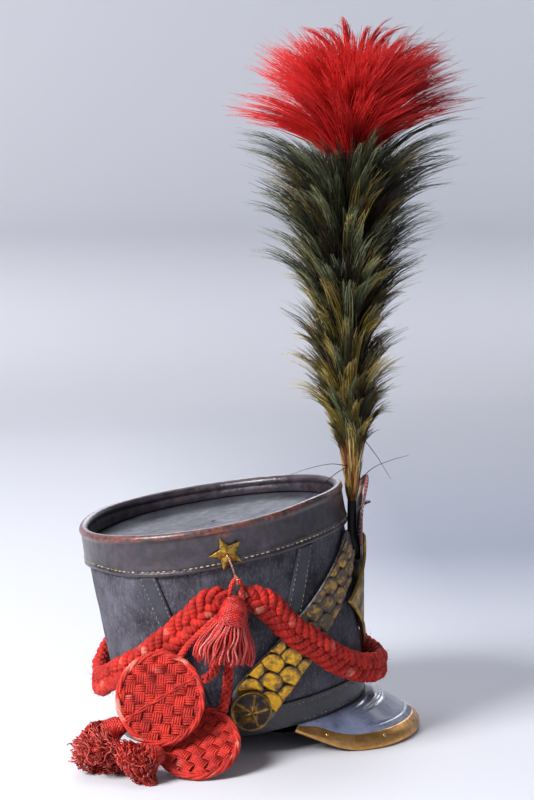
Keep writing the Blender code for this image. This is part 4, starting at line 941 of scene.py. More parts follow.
# Lift, radius and bareness of the boss's rim, from the hidden middle outwards.
BOSS_RIM = [
    (0.0, 3.0, 0.0), (4.6, 3.0, 0.0), (4.6, 17.2, 0.2), (5.1, 17.8, 0.3), (5.9, 18.0, 0.5),
    (6.8, 17.8, 0.6), (7.4, 17.2, 0.6), (7.4, 16.5, 0.4), (6.9, 15.9, 0.0), (6.5, 15.3, -0.1),
]


def boss(mirrored):
    side = "left" if mirrored else "right"
    columns = 90
    a = circle(columns)
    rim_lifts, rim_radii, marks = (list(part) for part in zip(*BOSS_RIM))
    lifts = [np.full(columns, lift) for lift in rim_lifts]
    radii = [np.full(columns, r) for r in rim_radii]
    ray = np.abs((a * 5 / (2 * np.pi) + 0.22) % 1.0 - 0.5) * 2 * np.pi / 5
    for r in np.linspace(14.6, 0.5, 22):
        ridge = 1.7 * np.exp(-((ray * r / 0.95) ** 2)) * (1 - r / 16.5)
        petal = 0.7 * np.sin(np.pi * np.clip(r / 14.6, 0, 1)) * np.cos(ray * 5) ** 2
        lifts.append(6.5 + 4.2 * (1 - (r / 15.0) ** 2) + ridge - petal)
        radii.append(np.full(columns, r))
        marks.append(0.0)
    lifts, radii = np.array(lifts), np.array(radii)
    heap = turned_body(skin(*BOSS_AT, 4.9), facing_out(*BOSS_AT), radii, lifts, columns)
    glow = np.array(marks)[:, None] + 0 * radii
    tops = np.exp(-((ray[None, :] * radii / 0.8) ** 2)) * (np.arange(len(radii)) >= len(BOSS_RIM))[:, None]
    heap.marks[-1] = (glow + 0.9 * tops).reshape(-1)
    piece(f"boss_{side}_rosette", heap, BOSS_BRASS, [f"boss_{side}"], mirrored=mirrored)


# %% Star hooks
STAR_AT = (-88.5, 166.2)


def star_hook(mirrored):
    side = "left" if mirrored else "right"
    out, up, along = facing_out(*STAR_AT)
    centre = skin(*STAR_AT, 4.0)
    columns, fifth = 100, math.pi / 5
    a = circle(columns)
    tip_turn = np.abs(((a + math.radians(18.0)) * 5 / (2 * np.pi) + 0.5) % 1.0 - 0.5) * 2 * np.pi / 5
    inner, outer = 7.4, 16.0
    edge = outer * inner * math.sin(fifth) / (
        inner * math.sin(fifth) * np.cos(tip_turn) + (outer - inner * math.cos(fifth)) * np.sin(tip_turn))
    ridge = 1 - tip_turn / fifth
    radii, lifts = [], []
    for share, lift in ((0.05, 0.0), (0.97, 0.0), (1.0, 0.5), (0.985, 1.0)):
        radii.append(edge * share)
        lifts.append(np.full(columns, lift))
    for share in (0.93, 0.85, 0.74, 0.6, 0.45, 0.3, 0.17, 0.05):
        radii.append(edge * share)
        dimple = 0.5 * math.exp(-((share / 0.16) ** 2))
        lifts.append(1.1 + 2.2 * (1 - share) ** 0.75 * (0.72 + 0.28 * ridge) - dimple)
    heap = turned_body(centre, (out, up, along), np.array(radii), np.array(lifts), columns)
    piece(f"star_{side}", heap, STAR_BRASS, [f"star_hook_{side}"], mirrored=mirrored)
    route = smooth_line([
        centre + out * 1.2, centre + out * 5.2 - up * 1.5 + along * 0.2, (-16.4, -113.6, 172.0),
        (-13.6, -112.4, 163.0), (-12.8, -113.2, 158.4), (-12.8, -116.5, 156.6), (-12.8, -120.0, 157.8),
        (-12.8, -121.9, 160.8), (-12.8, -122.2, 165.0)], 90)
    _, one, two = carried_frames(route[None])
    turn = np.linspace(0, 9 * 2 * np.pi, 90)[None, :, None]
    pair = [route[None] + 0.55 * s * (np.cos(turn) * one + np.sin(turn) * two) for s in (1, -1)]
    wire = Heap()
    tubes(wire, np.concatenate(pair), 0.55, 6)
    piece(f"star_hook_{side}_wire", wire, WIRE, mirrored=mirrored)


for mirrored in (False, True):
    boss(mirrored)
    star_hook(mirrored)

# %% [markdown]
# ## Peak and its brass edge
# The peak is one piece of varnished leather, moulded and sewn under the felt. A tooling wheel has run a
# double line beside the root and a ribbed track beside the brass. Tooling is less than a millimetre deep,
# but it is pressed into the mesh, with the rows of the grid set close only where it lies.

# %% Shape of the peak
# Share of the way round the peak, then the place of its edge in mm.
PEAK_EDGE = [
    (0.0, 162.0, 0.0, 0.0), (0.134, 157.6, 23.0, 0.0), (0.264, 149.0, 44.0, 0.0), (0.384, 137.3, 61.5, 0.0),
    (0.491, 124.0, 75.0, 0.0), (0.59, 109.5, 83.4, 0.0), (0.67, 96.0, 87.4, 0.0), (0.76, 80.0, 89.3, 3.2),
    (0.863, 63.0, 89.0, 9.3), (1.0, 41.5, 87.5, 17.8),
]
PEAK_THICK, PEAK_DEGREES = 2.2, 66.0
BRASS_OUTER, BRASS_INNER = 1.15, 0.5


def peak_place(share, r, drop):
    """Place on the peak's top; share is -1 to 1 round it, r is 0 at the root and 1 at the edge."""
    share, r, drop = np.broadcast_arrays(*(np.asarray(v, float) for v in (share, r, drop)))
    root = skin(PEAK_DEGREES * share, -0.5, 2.2)
    edge = smooth(PEAK_EDGE, np.abs(share))
    edge = np.stack([edge[..., 0], np.copysign(edge[..., 1], share), edge[..., 2] + drop], -1)
    chord = edge - root
    side = unit(np.stack([-chord[..., 1], chord[..., 0], 0 * r], -1))
    up = np.cross(chord, side)
    up *= np.sign(up[..., 2:]) / np.linalg.norm(up, axis=-1, keepdims=True)
    length = np.linalg.norm(chord, axis=-1)
    bulge = 7.0 * np.minimum(1.0, length / 60.0) ** 1.5
    return root + chord * r[..., None] + up * (bulge * (1 - np.abs(2 * r - 1) ** 5))[..., None]


def peak_out(share, r, drop):
    near = np.clip(r, 0.03, 0.97)
    along = peak_place(share, near + 0.01, drop) - peak_place(share, near - 0.01, drop)
    round_ = peak_place(share + 0.01, near, drop) - peak_place(share - 0.01, near, drop)
    n = np.cross(along, round_)
    return unit(n * np.sign(n[..., 2:]))


def peak_length(share):
    return np.linalg.norm(peak_place(share, 1.0, 0.0) - peak_place(share, 0.0, 0.0), axis=-1)


def trim_marks(share):
    length = peak_length(share)
    return 1.0 - np.minimum(12.5, 0.6 * length) / length, 1.0 - np.minimum(5.0, 0.3 * length) / length


def trim_rows(share, drop):
    """Closed outline of the folded brass at each share, as (share, row, 3)."""
    start, under = trim_marks(share)
    tip, n_tip = peak_place(share, 1.0, drop), peak_out(share, 0.985 + 0 * share, drop)
    lip = tip - peak_place(share, 0.93, drop)
    lip = unit(lip - n_tip * (lip * n_tip).sum(-1, keepdims=True))
    middle = tip - n_tip * (PEAK_THICK / 2) - lip * 0.4

    def bend(off, turns):
        radius = PEAK_THICK / 2 + off
        return [middle + radius * (math.cos(b) * n_tip + math.sin(b) * lip) for b in turns]

    outer = []
    for t in (0.0, 0.04, 0.15, 0.35, 0.6, 0.8):
        r = start + (1 - start) * t
        off = 0.6 if t == 0.0 else BRASS_OUTER
        outer.append(peak_place(share, r, drop) + peak_out(share, r, drop) * off)
    outer += bend(BRASS_OUTER, np.linspace(0, math.pi, 11))
    inner = []
    for t in (0.5, 1.0):
        r = 1.0 - (1.0 - under) * t
        outer.append(peak_place(share, r, drop) - peak_out(share, r, drop) * (PEAK_THICK + BRASS_OUTER))
        inner.append(peak_place(share, r, drop) - peak_out(share, r, drop) * (PEAK_THICK + BRASS_INNER))
    inner = inner[::-1] + bend(BRASS_INNER, np.linspace(math.pi, 0, 7))
    inner.append(peak_place(share, start, drop) + peak_out(share, start, drop) * BRASS_INNER)
    return np.stack(outer + inner, axis=1)


wanted = np.linspace(-1, 1, 25)
drop = np.full(25, 2.0)
for _ in range(6):
    drop = drop + smooth(PEAK_EDGE, np.abs(wanted))[..., 2] - trim_rows(wanted, drop)[..., 2].min(axis=1)
LIFTS = list(zip(wanted, drop))
print("peak edge raised by", [round(v, 1) for v in drop[::6]])

# %% Tooled leather
share = np.linspace(-1, 1, 217)[:, None]
drop = smooth(LIFTS, share)[..., 0]
length = peak_length(share)
# Rows of the grid, in mm from the root and in mm from the edge: close where the tooling lies.
root_mm = np.array([0, 1.5, 5, 8.5, 10, 10.7, 11.3, 11.9, 12.7, 13.4, 14.0, 14.7, 17])
edge_mm = np.array([22.5, 20.8, 20.1, 19.5, 18.9, 18.2, 17.3, 16, 14.8, 13.8, 13.0, 12.0, 8, 4, 1.5, 0])
middle = root_mm[-1] + (length - root_mm[-1] - edge_mm[0]) * np.linspace(0, 1, 14)[None, 1:-1]
whole = np.concatenate([root_mm[None, :] + 0 * length, middle, length - edge_mm[None, :]], axis=1)
short = length * np.linspace(0, 1, whole.shape[1])[None, :]
room = np.clip((length - 42.0) / 10.0, 0, 1)
down = whole * room + short * (1 - room)
r = down / length
place, out = peak_place(share, r, drop), peak_out(share, r, drop)
first = skin(PEAK_DEGREES * share, 10.0, 0.0) - skin(PEAK_DEGREES * share, 0.0, 0.0)
out[:, :1] = unit(first)
arc = np.cumsum(np.linalg.norm(np.diff(place[:, -10], axis=0, prepend=place[:1, -10]), axis=1))[:, None]
left = length - down
tooled = -0.55 * np.exp(-((down - 11.3) / 0.6) ** 2) - 0.55 * np.exp(-((down - 13.9) / 0.6) ** 2)
tooled = tooled - 0.8 * np.exp(-((left - 19.8) / 0.7) ** 2) + 0.55 * np.exp(-((left - 18.2) / 1.0) ** 2)
ribs = 0.6 * np.cos(2 * np.pi * arc / 3.4) * np.clip((17.6 - left) / 0.8, 0, 1)
ribs = ribs * np.clip((left - 12.6) / 0.8, 0, 1)
relief = (tooled + ribs) * room + 0.18 * rough(place, 14.0, 4.0)
top = place + out * relief[..., None]
tucked = skin(PEAK_DEGREES * share, -0.45, -2.2)
low = place - out * PEAK_THICK
tucked_low = skin(PEAK_DEGREES * share, -0.45 - PEAK_THICK, -2.2)
upper, lower = np.concatenate([tucked, top], 1), np.concatenate([tucked_low, low], 1)
heap = Heap().add(*sheet_between(upper, lower), solid=True)
piece("peak_varnished", heap, PEAK, ["peak"])

# %% Folded brass edge with rivets
share = np.linspace(-1, 1, 181)
outline = trim_rows(share, smooth(LIFTS, share)[..., 0])
outline[..., 2] = np.maximum(outline[..., 2], 0.0)
rows, cols = outline.shape[:2]
# The rounded lip is barer than the rest, and its middle is the barest.
bare = np.zeros((rows, cols))
bare[:, 6:17] = 0.28
bare[:, 8:13] = 0.5
heap = Heap().add(outline, grid_faces(rows, cols, wrap_cols=True), bare, solid=True)
heap.close_ends(rows, cols, 1)
for at in (-0.82, -0.5, -0.17, 0.17, 0.5, 0.82):
    s = np.array([at])
    r = 1.0 - 7.0 / peak_length(s)
    lift = smooth(LIFTS, s)[..., 0]
    foot, out = peak_place(s, r, lift)[0], peak_out(s, r, lift)[0]
    side = unit(np.cross(out, (1.0, 0.0, 0.0)))
    other = np.cross(out, side)
    a = circle(14)
    domes = [(1.9, 0.9), (1.9, 1.25), (1.5, 1.75), (0.9, 2.0), (0.2, 2.05)]
    spokes = np.cos(a)[:, None] * side + np.sin(a)[:, None] * other
    ringed = [foot + w * spokes + out * up for w, up in domes]
    heap.add(np.array(ringed), grid_faces(5, 14, wrap_cols=True), 0.1, solid=True)
piece("peak_brass_edge", heap, TRIM_BRASS, ["peak_trim"])
heap = Heap()
around = np.linspace(-64.0, 64.0, 260)
seam(heap, around, 0 * around + 3.2, 2.15, 4.4, 2.6, 0.34, seed=6)
piece("peak_root_stitches", heap, THREAD)

# %% [markdown]
# ## Front plate, cockade and plume foot
# Seen from the side these are thin edges, but each is whole: a bent lozenge of sheet brass with a rolled
# rim, a disc of pleated silk under a leather tongue, a leather socket, and the plume's foot, whose wires
# are whipped with gold thread. The windings are real ridges, a millimetre and a half apart.

# %% Front plate
PLATE_X, PLATE_Z, PLATE_HALF, PLATE_BEND = 110.2, 125.0, (51.5, 50.0), 72.0


def plate_place(across, height, lift):
    y = across * PLATE_HALF[1]
    reach = np.sqrt(PLATE_BEND ** 2 - y ** 2)
    x = PLATE_X - PLATE_BEND + reach
    z = PLATE_Z + height * PLATE_HALF[0] + 0 * x
    return np.stack([x + lift * reach / PLATE_BEND, y + lift * y / PLATE_BEND, z], -1)


steps = np.sort(np.concatenate([np.linspace(-1, 1, 41), [0.965, 0.925, -0.965, -0.925, 0.985, -0.985]]))
u, v = steps[:, None], steps[None, :]
near = np.maximum(np.abs(u), np.abs(v))
rolled = 1.9 * np.exp(-(((near - 0.945) / 0.03) ** 2))
place = plate_place((u + v) / 2, (u - v) / 2, 0.0)
lift = 1.0 + rolled + 0.25 * rough(place, 16.0) + 0.4 * np.exp(-(((near - 0.86) / 0.012) ** 2))
h = (PLATE_Z - skin(0.0, 0.0, 0.0)[2]) / math.cos(TILT)
lug = skin(0.0, h, 0.8)[0] - PLATE_X
back = np.where(near < 0.045, lug, rolled * 0.8)
front, rear = (plate_place((u + v) / 2, (u - v) / 2, off) for off in (lift, back))
bare = np.tile((0.75 * np.exp(-(((near - 0.945) / 0.04) ** 2))).reshape(-1), 2)
heap = Heap().add(*sheet_between(front, rear), bare, solid=True)
piece("lozenge_plate", heap, PLATE_BRASS, ["front_plate"])

# %% Pleated cockade and its leather tongue
COCKADE_X, COCKADE_Z, PLEATS = 108.9, 197.0, 48
pleats = circle(6 * PLEATS)
ring_share = np.concatenate([np.linspace(0, 1, 15), np.linspace(1, 0, 15)])[:, None]
face = np.repeat([1.0, -1.0], 15)[:, None]
rho = 6.8 + 24.7 * ring_share
bend = (rho / 31.5) ** 1.5 * (-1.0 + 3.0 * np.cos(pleats) + 3.0 * np.cos(2 * pleats))
fold = (0.3 + 0.75 * ring_share) * np.sin(pleats * PLEATS)
edge = np.where(ring_share > 0.98, 0.4, 0.0)
x = COCKADE_X + bend + fold + face * (0.55 - edge)
points = np.stack([x, rho * np.sin(pleats), COCKADE_Z + rho * np.cos(pleats)], -1)
mark = np.broadcast_to(ring_share, points.shape[:2]).reshape(-1)
heap = Heap().add(points, grid_faces(*points.shape[:2], wrap_rows=True, wrap_cols=True), mark, solid=True)
piece("pleated_cockade", heap, COCKADE, ["cockade"])

tongue = smooth_line([(105.7, 0, 176), (105.7, 0, 186), (106, 0, 193.5), (108.4, 0, 198.6),
                      (112, 0, 202.6), (117, 0, 204.6)], 34)
over = unit(np.cross(np.gradient(tongue, axis=0), (0.0, 1.0, 0.0)))
wide = np.linspace(-1, 1, 9)[None, :] * (4.0 * np.sqrt(np.clip((34 - np.arange(34)) / 4.0, 0.1, 1)))[:, None]
curl = 0.5 * (wide / 4.0) ** 2
grid = tongue[:, None] + wide[..., None] * (0.0, 1.0, 0.0)
front = grid - over[:, None] * (0.75 - curl[..., None])
rear = grid + over[:, None] * (0.75 + curl[..., None])
heap = Heap().add(*sheet_between(front, rear), solid=True)
piece("cockade_tongue", heap, SOCKET, ["cockade_loop"])

# %% Socket and whipped foot of the plume
PLUME_X = 100.4


def turned_upright(rows, columns, wobble=0.0):
    """Closed body turned round the plume's axis; rows are (height, radius)."""
    a = circle(columns)
    z, r = (np.array(v)[:, None] for v in zip(*rows))
    r = r * (1 + wobble * np.sin(3 * a + z * 0.15))
    points = np.stack([PLUME_X + r * np.cos(a), r * np.sin(a), z + 0 * a], -1)
    heap = Heap().add(points, grid_faces(len(rows), columns, wrap_cols=True), solid=True)
    return heap.close_ends(len(rows), columns, 1 if heap.faces[-1][0, 0] == 0 else -1)


rows = [
    (177.0, 3.2), (177.3, 3.8), (178.5, 4.0), (191.0, 4.05), (204.5, 4.0), (205.6, 3.8), (206.0, 3.4),
    (205.8, 3.0), (203.0, 2.9), (184.0, 2.8),
]
piece("plume_socket_tube", turned_upright(rows, 40), SOCKET, ["plume_socket"])
# Painted shade: a dark leather filling put in the shaded gap between the plume's socket and the plate.
tail = smooth_line([(100.4, 0, 183), (100.9, 0, 174), (103.0, 0, 165), (106.2, 0, 152)], 14)
heap = tubes(Heap(), tail[None], np.interp(np.arange(14), [0, 5, 9, 13], [3.7, 4.7, 4.4, 2.4]), 16)
piece("socket_shade_filling", heap, SOCKET)
shape = [(184.6, 2.3), (208.0, 2.4), (212.0, 3.7), (222.0, 4.4), (234.0, 5.4), (243.0, 6.6), (247.6, 6.8)]
tall = np.arange(184.6, 247.6, 0.36)
radius = smooth(shape, tall)[..., 0] + np.where(tall > 207.0, 0.3 * np.abs(np.sin(np.pi * tall / 1.5)), 0.0)
piece("plume_whipping", turned_upright(list(zip(tall, radius)), 26, 0.05), WHIPPING, ["plume_neck"])

# %% [markdown]
# ## Cap lines
# The red cords are worsted wool: two thick flat plaits hang from the star hooks round the front and the
# rear, and thinner cords lead to two woven discs and to tassels. Every strand is its own tube that passes
# over and under its neighbours, since the gaps and shadows between strands are what makes a plait. The
# routes repeat those of the solids. Short hairs stand off the wool.

# %% Twisted and round-plaited cords
def directions(path):
    return (v[0] for v in carried_frames(np.asarray(path)[None]))


def twisted(heap, path, radius, plies=3, pitch=11.0, sides=8, mark=0.0):
    """Plies twisted about a path; together they are as thick as the radius says."""
    path = np.asarray(path, float)
    _, one, two = directions(path)
    run = walked(path)
    ply = radius / (1 + 1 / math.sin(math.pi / plies)) * 1.12
    turn = 2 * np.pi * (run[None, :] / pitch + np.arange(plies)[:, None] / plies)
    reach = radius - ply
    paths = path[None] + reach * (np.cos(turn)[..., None] * one + np.sin(turn)[..., None] * two)
    return tubes(heap, paths, ply, sides, mark)


def round_plait(heap, path, radius, pitch=26.0, sides=7, mark=0.0):
    """Eight strands plaited round a path, four each way, over one and under one."""
    path = np.asarray(path, float)
    _, one, two = directions(path)
    run = walked(path)
    thick = radius * 0.3
    phase = 2 * np.pi * run / pitch
    paths = []
    for way in (1, -1):
        turn = way * phase[None, :] + 2 * np.pi * np.arange(4)[:, None] / 4
        reach = radius - thick - 0.33 * radius * (0.5 - 0.5 * way * np.cos(4 * phase))[None, :]
        around = np.cos(turn)[..., None] * one + np.sin(turn)[..., None] * two
        paths.append(path[None] + reach[..., None] * around)
    return tubes(heap, np.concatenate(paths), thick, sides, mark)


def hairs(heap, points, outs, length, thick, seed):
    """Short bent hairs standing off a surface, each a closed sliver."""
    chance = np.random.default_rng(seed)
    n = len(points)
    size = length * chance.uniform(0.4, 1.0, (n, 1))
    lean = outs + chance.normal(0, 0.55, (n, 3))
    bend = chance.normal(0, 0.6, (n, 3))
    tips = points + lean * size + bend * size * 0.4
    paths = np.stack([points - outs * 0.4, points + lean * size * 0.5, tips], 1)
    return tubes(heap, paths, np.array([thick, thick * 0.8, thick * 0.3]), 3)


def run_of(points):
    return float(np.linalg.norm(np.diff(points, axis=0), axis=1).sum()) * MM


def declare(obj, points):
    print(obj.name, "length mm", round(run_of(points) * 1000))


# %% Flat plaits of the festoons
# Degrees from the front, height, and distance off the felt of each plait's middle.
FRONT_PLAIT = [
    (86.6, 127.5, 12.5), (83.6, 127.0, 13.5), (79.4, 123.5, 15.0), (74.7, 113.2, 15.0), (70.1, 99.0, 15.0),
    (64.9, 84.3, 15.5), (58.6, 72.4, 15.5), (52.7, 59.6, 16.0), (45.7, 47.9, 16.0), (38.7, 39.3, 16.0),
    (32.2, 33.3, 16.5), (20.7, 26.7, 16.5), (0.0, 21.0, 16.5),
]
REAR_PLAIT = [
    (90.0, 128.0, 12.5), (94.9, 130.0, 13.0), (99.7, 125.5, 13.5), (104.5, 116.5, 13.0), (110.1, 108.3, 13.0),
    (115.0, 101.0, 13.0), (121.1, 93.6, 13.0), (127.7, 85.8, 12.5), (136.6, 76.6, 12.5), (147.3, 68.0, 12.5),
    (159.5, 59.5, 12.5), (170.0, 53.0, 12.5), (180.0, 50.0, 12.5),
]


def plait(name, table, stands_for, seed, mess, strands=5, period=42.0):
    angle, h, off = np.array(table).T
    line = np.concatenate([skin(-angle, h, off), skin(angle[-2::-1], h[-2::-1], off[-2::-1])])
    length = run_of(smooth_line(line, 200)) * 1000
    path = smooth_line(line, int(length / 1.9))
    run = np.linspace(0.0, length, len(path))
    along = unit(np.gradient(path, axis=0))
    out = np.stack([path[:, 0] - 0.16 * (60.0 - path[:, 2]), 1.25 * path[:, 1], 0 * run], -1)
    out = unit(out - along * (out * along).sum(1, keepdims=True))
    over = np.cross(along, out)
    end = np.minimum(run, length - run)
    taper = 0.5 + 0.5 * np.clip(end / 22.0, 0, 1) ** 0.8
    slips = np.random.default_rng(seed + 9).normal(0, 0.035, 18)
    slip = np.interp(run, np.linspace(0, length, 18), slips)
    step = (run[None, :] / period + slip[None] + np.arange(strands)[:, None] / strands + 0.25) % 1.0
    sway = np.arcsin(0.95 * -np.cos(2 * np.pi * step)) / math.asin(0.95)
    order = np.array([0.3, 1.0, 1.0, -1.0, -1.0, 0.3, 1.0, 1.0, -1.0, -1.0, 0.3])
    m = step * 2 * strands
    low = np.floor(m).astype(int)
    blend = 0.5 - 0.5 * np.cos(np.pi * (m - low))
    g = order[low] * (1 - blend) + order[np.minimum(low + 1, 2 * strands)] * blend
    wide = 10.1 * sway * taper
    deep = 3.9 * g * taper - 0.4 * np.abs(sway) ** 3
    paths = path[None] + over[None] * wide[..., None] + out[None] * deep[..., None]
    paths = paths + mess * shaken(paths, 9.0, seed)
    heading = unit(np.gradient(paths, axis=1))
    side = unit(np.cross(heading, out[None]))
    lift = np.cross(side, heading)
    radii = 3.3 * (1 + 0.2 * g + 0.06 * rough(paths, 5.0, seed)) * (0.62 + 0.38 * taper)
    pale = np.clip((rough(paths, 9.0, seed + 3) - 0.4) / 0.25, 0, 1)
    # The mark fades raised strands to worn pink, and is painted shade, below 0, where a strand dives under
    # its neighbours.
    faded = pale * np.clip(g, 0, 1) * 0.85 - 0.9 * np.clip(0.3 - g, 0, 1)
    heap = tubes(Heap(), paths, radii, 8, faded, 0.86, (side, lift))
    chance = np.random.default_rng(seed)
    pick = chance.integers(0, strands, 1200), chance.integers(2, len(path) - 2, 1200)
    a = chance.uniform(-0.3 * math.pi, 1.3 * math.pi, 1200)[:, None]
    outs = np.cos(a) * side[pick] + np.sin(a) * lift[pick]
    hairs(heap, paths[pick] + outs * radii[pick][:, None] * 0.95, outs, 3.0, 0.14, seed)
    declare(piece(name, heap, WOOL, [stands_for]), path)


plait("front_plait", FRONT_PLAIT, "festoon_front", 11, 1.0)
plait("rear_plait", REAR_PLAIT, "festoon_rear", 23, 1.7)

# %% Woven discs
def disc_axes(lean_deg, yaw_deg):
    lean, yaw = math.radians(lean_deg), math.radians(yaw_deg)
    wide = np.array([math.cos(yaw), -math.sin(yaw), 0.0])
    up = np.array([math.sin(yaw) * math.cos(lean), math.cos(yaw) * math.cos(lean), math.sin(lean)])
    return wide, up, np.cross(wide, up)


def woven_disc(name, stands_for, centre, axes, half, split_deg, leans, seed, seamed=True):
    """Two woven fields of four-cord bundles that meet at a seam, inside a rim of looped cords."""
    wide, up, out = axes
    pitch, thick, rise = 8.5, 1.07, 1.55
    inner = np.array(half) - 2.6
    seam_way = np.array([math.cos(math.radians(split_deg)), math.sin(math.radians(split_deg))])
    seam_side = np.array([-seam_way[1], seam_way[0]])
    heap = Heap()
    flat_paths, heights = [], []
    for field, lean in zip((1, -1), leans):
        for crossing in (0, 1):
            way = np.radians(lean + 90.0 * crossing - (6.0 if crossing else 0.0))
            ahead = np.array([math.cos(way), math.sin(way)])
            beside = np.array([-ahead[1], ahead[0]])
            for b in range(-6, 7):
                for strand in range(4):
                    shift = b * pitch + (strand - 1.5) * 2.04
                    t = np.linspace(-60, 60, 481)
                    flat = shift * beside + t[:, None] * ahead
                    inside = ((flat / inner) ** 2).sum(1) < 1.0
                    inside &= (field * (flat @ seam_side) > -0.6) if seamed else field > 0
                    if inside.sum() < 24:
                        continue
                    ends = t[inside][[0, -1]]
                    if ends[1] - ends[0] > 0.3 * inside.sum():
                        continue
                    t = np.linspace(ends[0], ends[1], 35)
                    turn = np.cos(np.pi * t / pitch) * (-1) ** b * (1 if crossing else -1)
                    height = rise * np.sign(turn) * np.abs(turn) ** 0.6
                    height = height * np.clip(np.minimum(t - ends[0], ends[1] - t) / 3.0, 0.2, 1)
                    height = height - 0.2 * ((strand - 1.5) / 1.5) ** 2 * np.sign(height)
                    flat_paths.append(shift * beside + t[:, None] * ahead)
                    heights.append(height)
    flat_paths, heights = np.array(flat_paths), np.array(heights)
    dome = 1.2 * (1 - ((flat_paths / half) ** 2).sum(-1))
    paths = np.array(centre) + flat_paths[..., :1] * wide + flat_paths[..., 1:] * up
    paths = paths + (heights + dome - 0.6)[..., None] * out
    paths = paths + 0.16 * shaken(paths, 6.0, seed)
    pale = np.clip((rough(paths, 10.0, seed) - 0.55) / 0.3, 0, 1) * 0.6
    # The mark fades random places to worn pink, and is painted shade, below 0, where a cord dips into the
    # weave.
    faded = pale - 0.9 * np.clip(0.5 - heights * np.sign(out[2] - out[1]), 0, 1)
    tubes(heap, paths, thick * (1 + 0.04 * rough(paths, 3.0, seed)), 5, faded)
    a = np.linspace(0, 2 * np.pi, 150)
    for k in range(4):
        twist = 5 * a + k * np.pi / 2
        bumps = 0.9 * rough(np.stack([np.cos(a), np.sin(a), 0 * a], -1) * 60.0, 14.0, seed + k)
        reach = np.array(half)[None, :] - 2.6 + (1.45 * np.cos(twist) + bumps)[:, None]
        flat = np.stack([np.cos(a), np.sin(a)], -1) * reach
        loop = np.array(centre) + flat[:, :1] * wide + flat[:, 1:] * up
        loop = loop + (1.75 * np.sin(twist))[:, None] * out
        tubes(heap, loop[None], 1.3, 7, np.clip((rough(loop, 14.0, seed + 5) - 0.2) / 0.3, 0, 1)[None] * 0.8)
    reach = 1 / math.sqrt(((seam_way / inner) ** 2).sum())
    t = np.linspace(-reach, reach, 60)
    for k in (-1, 1) if seamed else ():
        flat = t[:, None] * seam_way + (k * 1.1 * np.cos(np.pi * t / 17.0))[:, None] * seam_side
        line = np.array(centre) + flat[:, :1] * wide + flat[:, 1:] * up
        for face in (1, -1):
            crossing = rise + 0.3 + 0.35 * k * np.sin(np.pi * t / 17.0)
            rise_over = face * crossing + 1.2 * (1 - (t / reach) ** 2) - 0.6
            tubes(heap, (line + rise_over[:, None] * out)[None], 0.95, 6)
    return piece(name, heap, CORD, [stands_for])


upper_disc = woven_disc("upper_woven_disc", "raquette_upper", (-78.9, -131.0, 62.3), disc_axes(65.0, 4.0),
                        (38.2, 41.0), 32.0, (2.0, -4.0), 31)
lower_disc = woven_disc("lower_woven_disc", "raquette_lower", (-48.5, -138.0, 25.4), disc_axes(38.0, 6.0),
                        (37.5, 38.5), 118.0, (-28.0, 20.0), 41, seamed=False)

# %% Hook loops and stems
# Places in mm that the right hook's loop and the three stems run through.
LOOP = [(-18.4, -117.35, 139.0), (-18.4, -117.0, 147.0), (-16.8, -116.6, 156.6), (-12.8, -116.4, 161.4),
        (-8.8, -116.6, 156.6), (-7.2, -117.0, 147.0), (-7.2, -117.35, 139.0)]
STEM_1 = [(-28.4, -121.3, 130), (-36, -121, 124), (-40.5, -119.5, 119), (-48.9, -115.6, 109.9),
          (-55, -114.8, 103), (-61.2, -117.15, 94.9)]
STEM_2 = [(-18.6, -108.6, 135), (-20.5, -107, 114), (-25, -106.5, 100), (-28, -109, 91),
          (-30.5, -114.5, 84.5), (-34, -121, 80.5), (-42, -128.5, 77.3)]
STEM_3 = [(-8, -108.6, 134.7), (-10, -107.5, 112), (-15, -106, 95), (-18.5, -105.3, 80),
          (-19.5, -106.5, 68), (-21.3, -109, 57), (-24.8, -115.25, 45.5)]

loops = {}
for side, mirrored in (("right", False), ("left", True)):
    path = smooth_line(LOOP, 70)
    heap = twisted(Heap(), path, 2.1, 3, 9.0, 7)
    loops[side] = piece(f"hook_loop_{side}_cord", heap, CORD, [f"hook_loop_{side}"], mirrored=mirrored)
heap = twisted(Heap(), smooth_line(STEM_1, 50), 3.2, 3, 12.0)
stem_1 = piece("stem_upper_twist", heap, CORD, ["raquette_stem_upper_1"])
heap = round_plait(Heap(), smooth_line(STEM_2, 110), 4.35, 24.0)
stem_2 = piece("stem_upper_plait", heap, CORD, ["raquette_stem_upper_2"])
heap = round_plait(Heap(), smooth_line(STEM_3, 140), 4.9, 26.0)
stem_3 = piece("stem_lower_plait", heap, CORD, ["raquette_stem_lower"])

# %% Tassels
def tassel_axis(points, sizes, facing, count):
    path = smooth_line(points, count)
    along = unit(np.gradient(path, axis=0))
    wide = unit(np.cross(along, facing))
    share = np.linspace(0, 1, count)
    size = smooth(list(zip(np.linspace(0, 1, len(sizes)), sizes)), share)[..., 0]
    return path, wide, np.cross(wide, along), size


def netted_head(heap, path, wide, deep, size, crossings, thick, seed):
    """Core of a tassel's head under a net of thin yarn wound both ways."""
    rows, columns = len(path), 28
    a = circle(columns)[None, :, None]
    around = np.cos(a) * wide[:, None] + np.sin(a) * deep[:, None]
    core = path[:, None] + (size * 0.9)[:, None, None] * around
    heap.add(core, grid_faces(rows, columns, wrap_cols=True), solid=True).close_ends(rows, columns, 1)
    share = np.linspace(0, 1, rows)
    for way in (1, -1):
        turn = way * 1.5 * np.pi * share[None, :] + 2 * np.pi * np.arange(crossings)[:, None] / crossings
        reach = (size * 0.93)[None, :] + 0.28 * way * np.cos(crossings * turn)
        around = np.cos(turn)[..., None] * wide + np.sin(turn)[..., None] * deep
        paths = path[None] + reach[..., None] * around
        tubes(heap, paths, thick, 5, np.clip(rough(paths, 5.0, seed), 0, 1) * 0.5)
    return heap


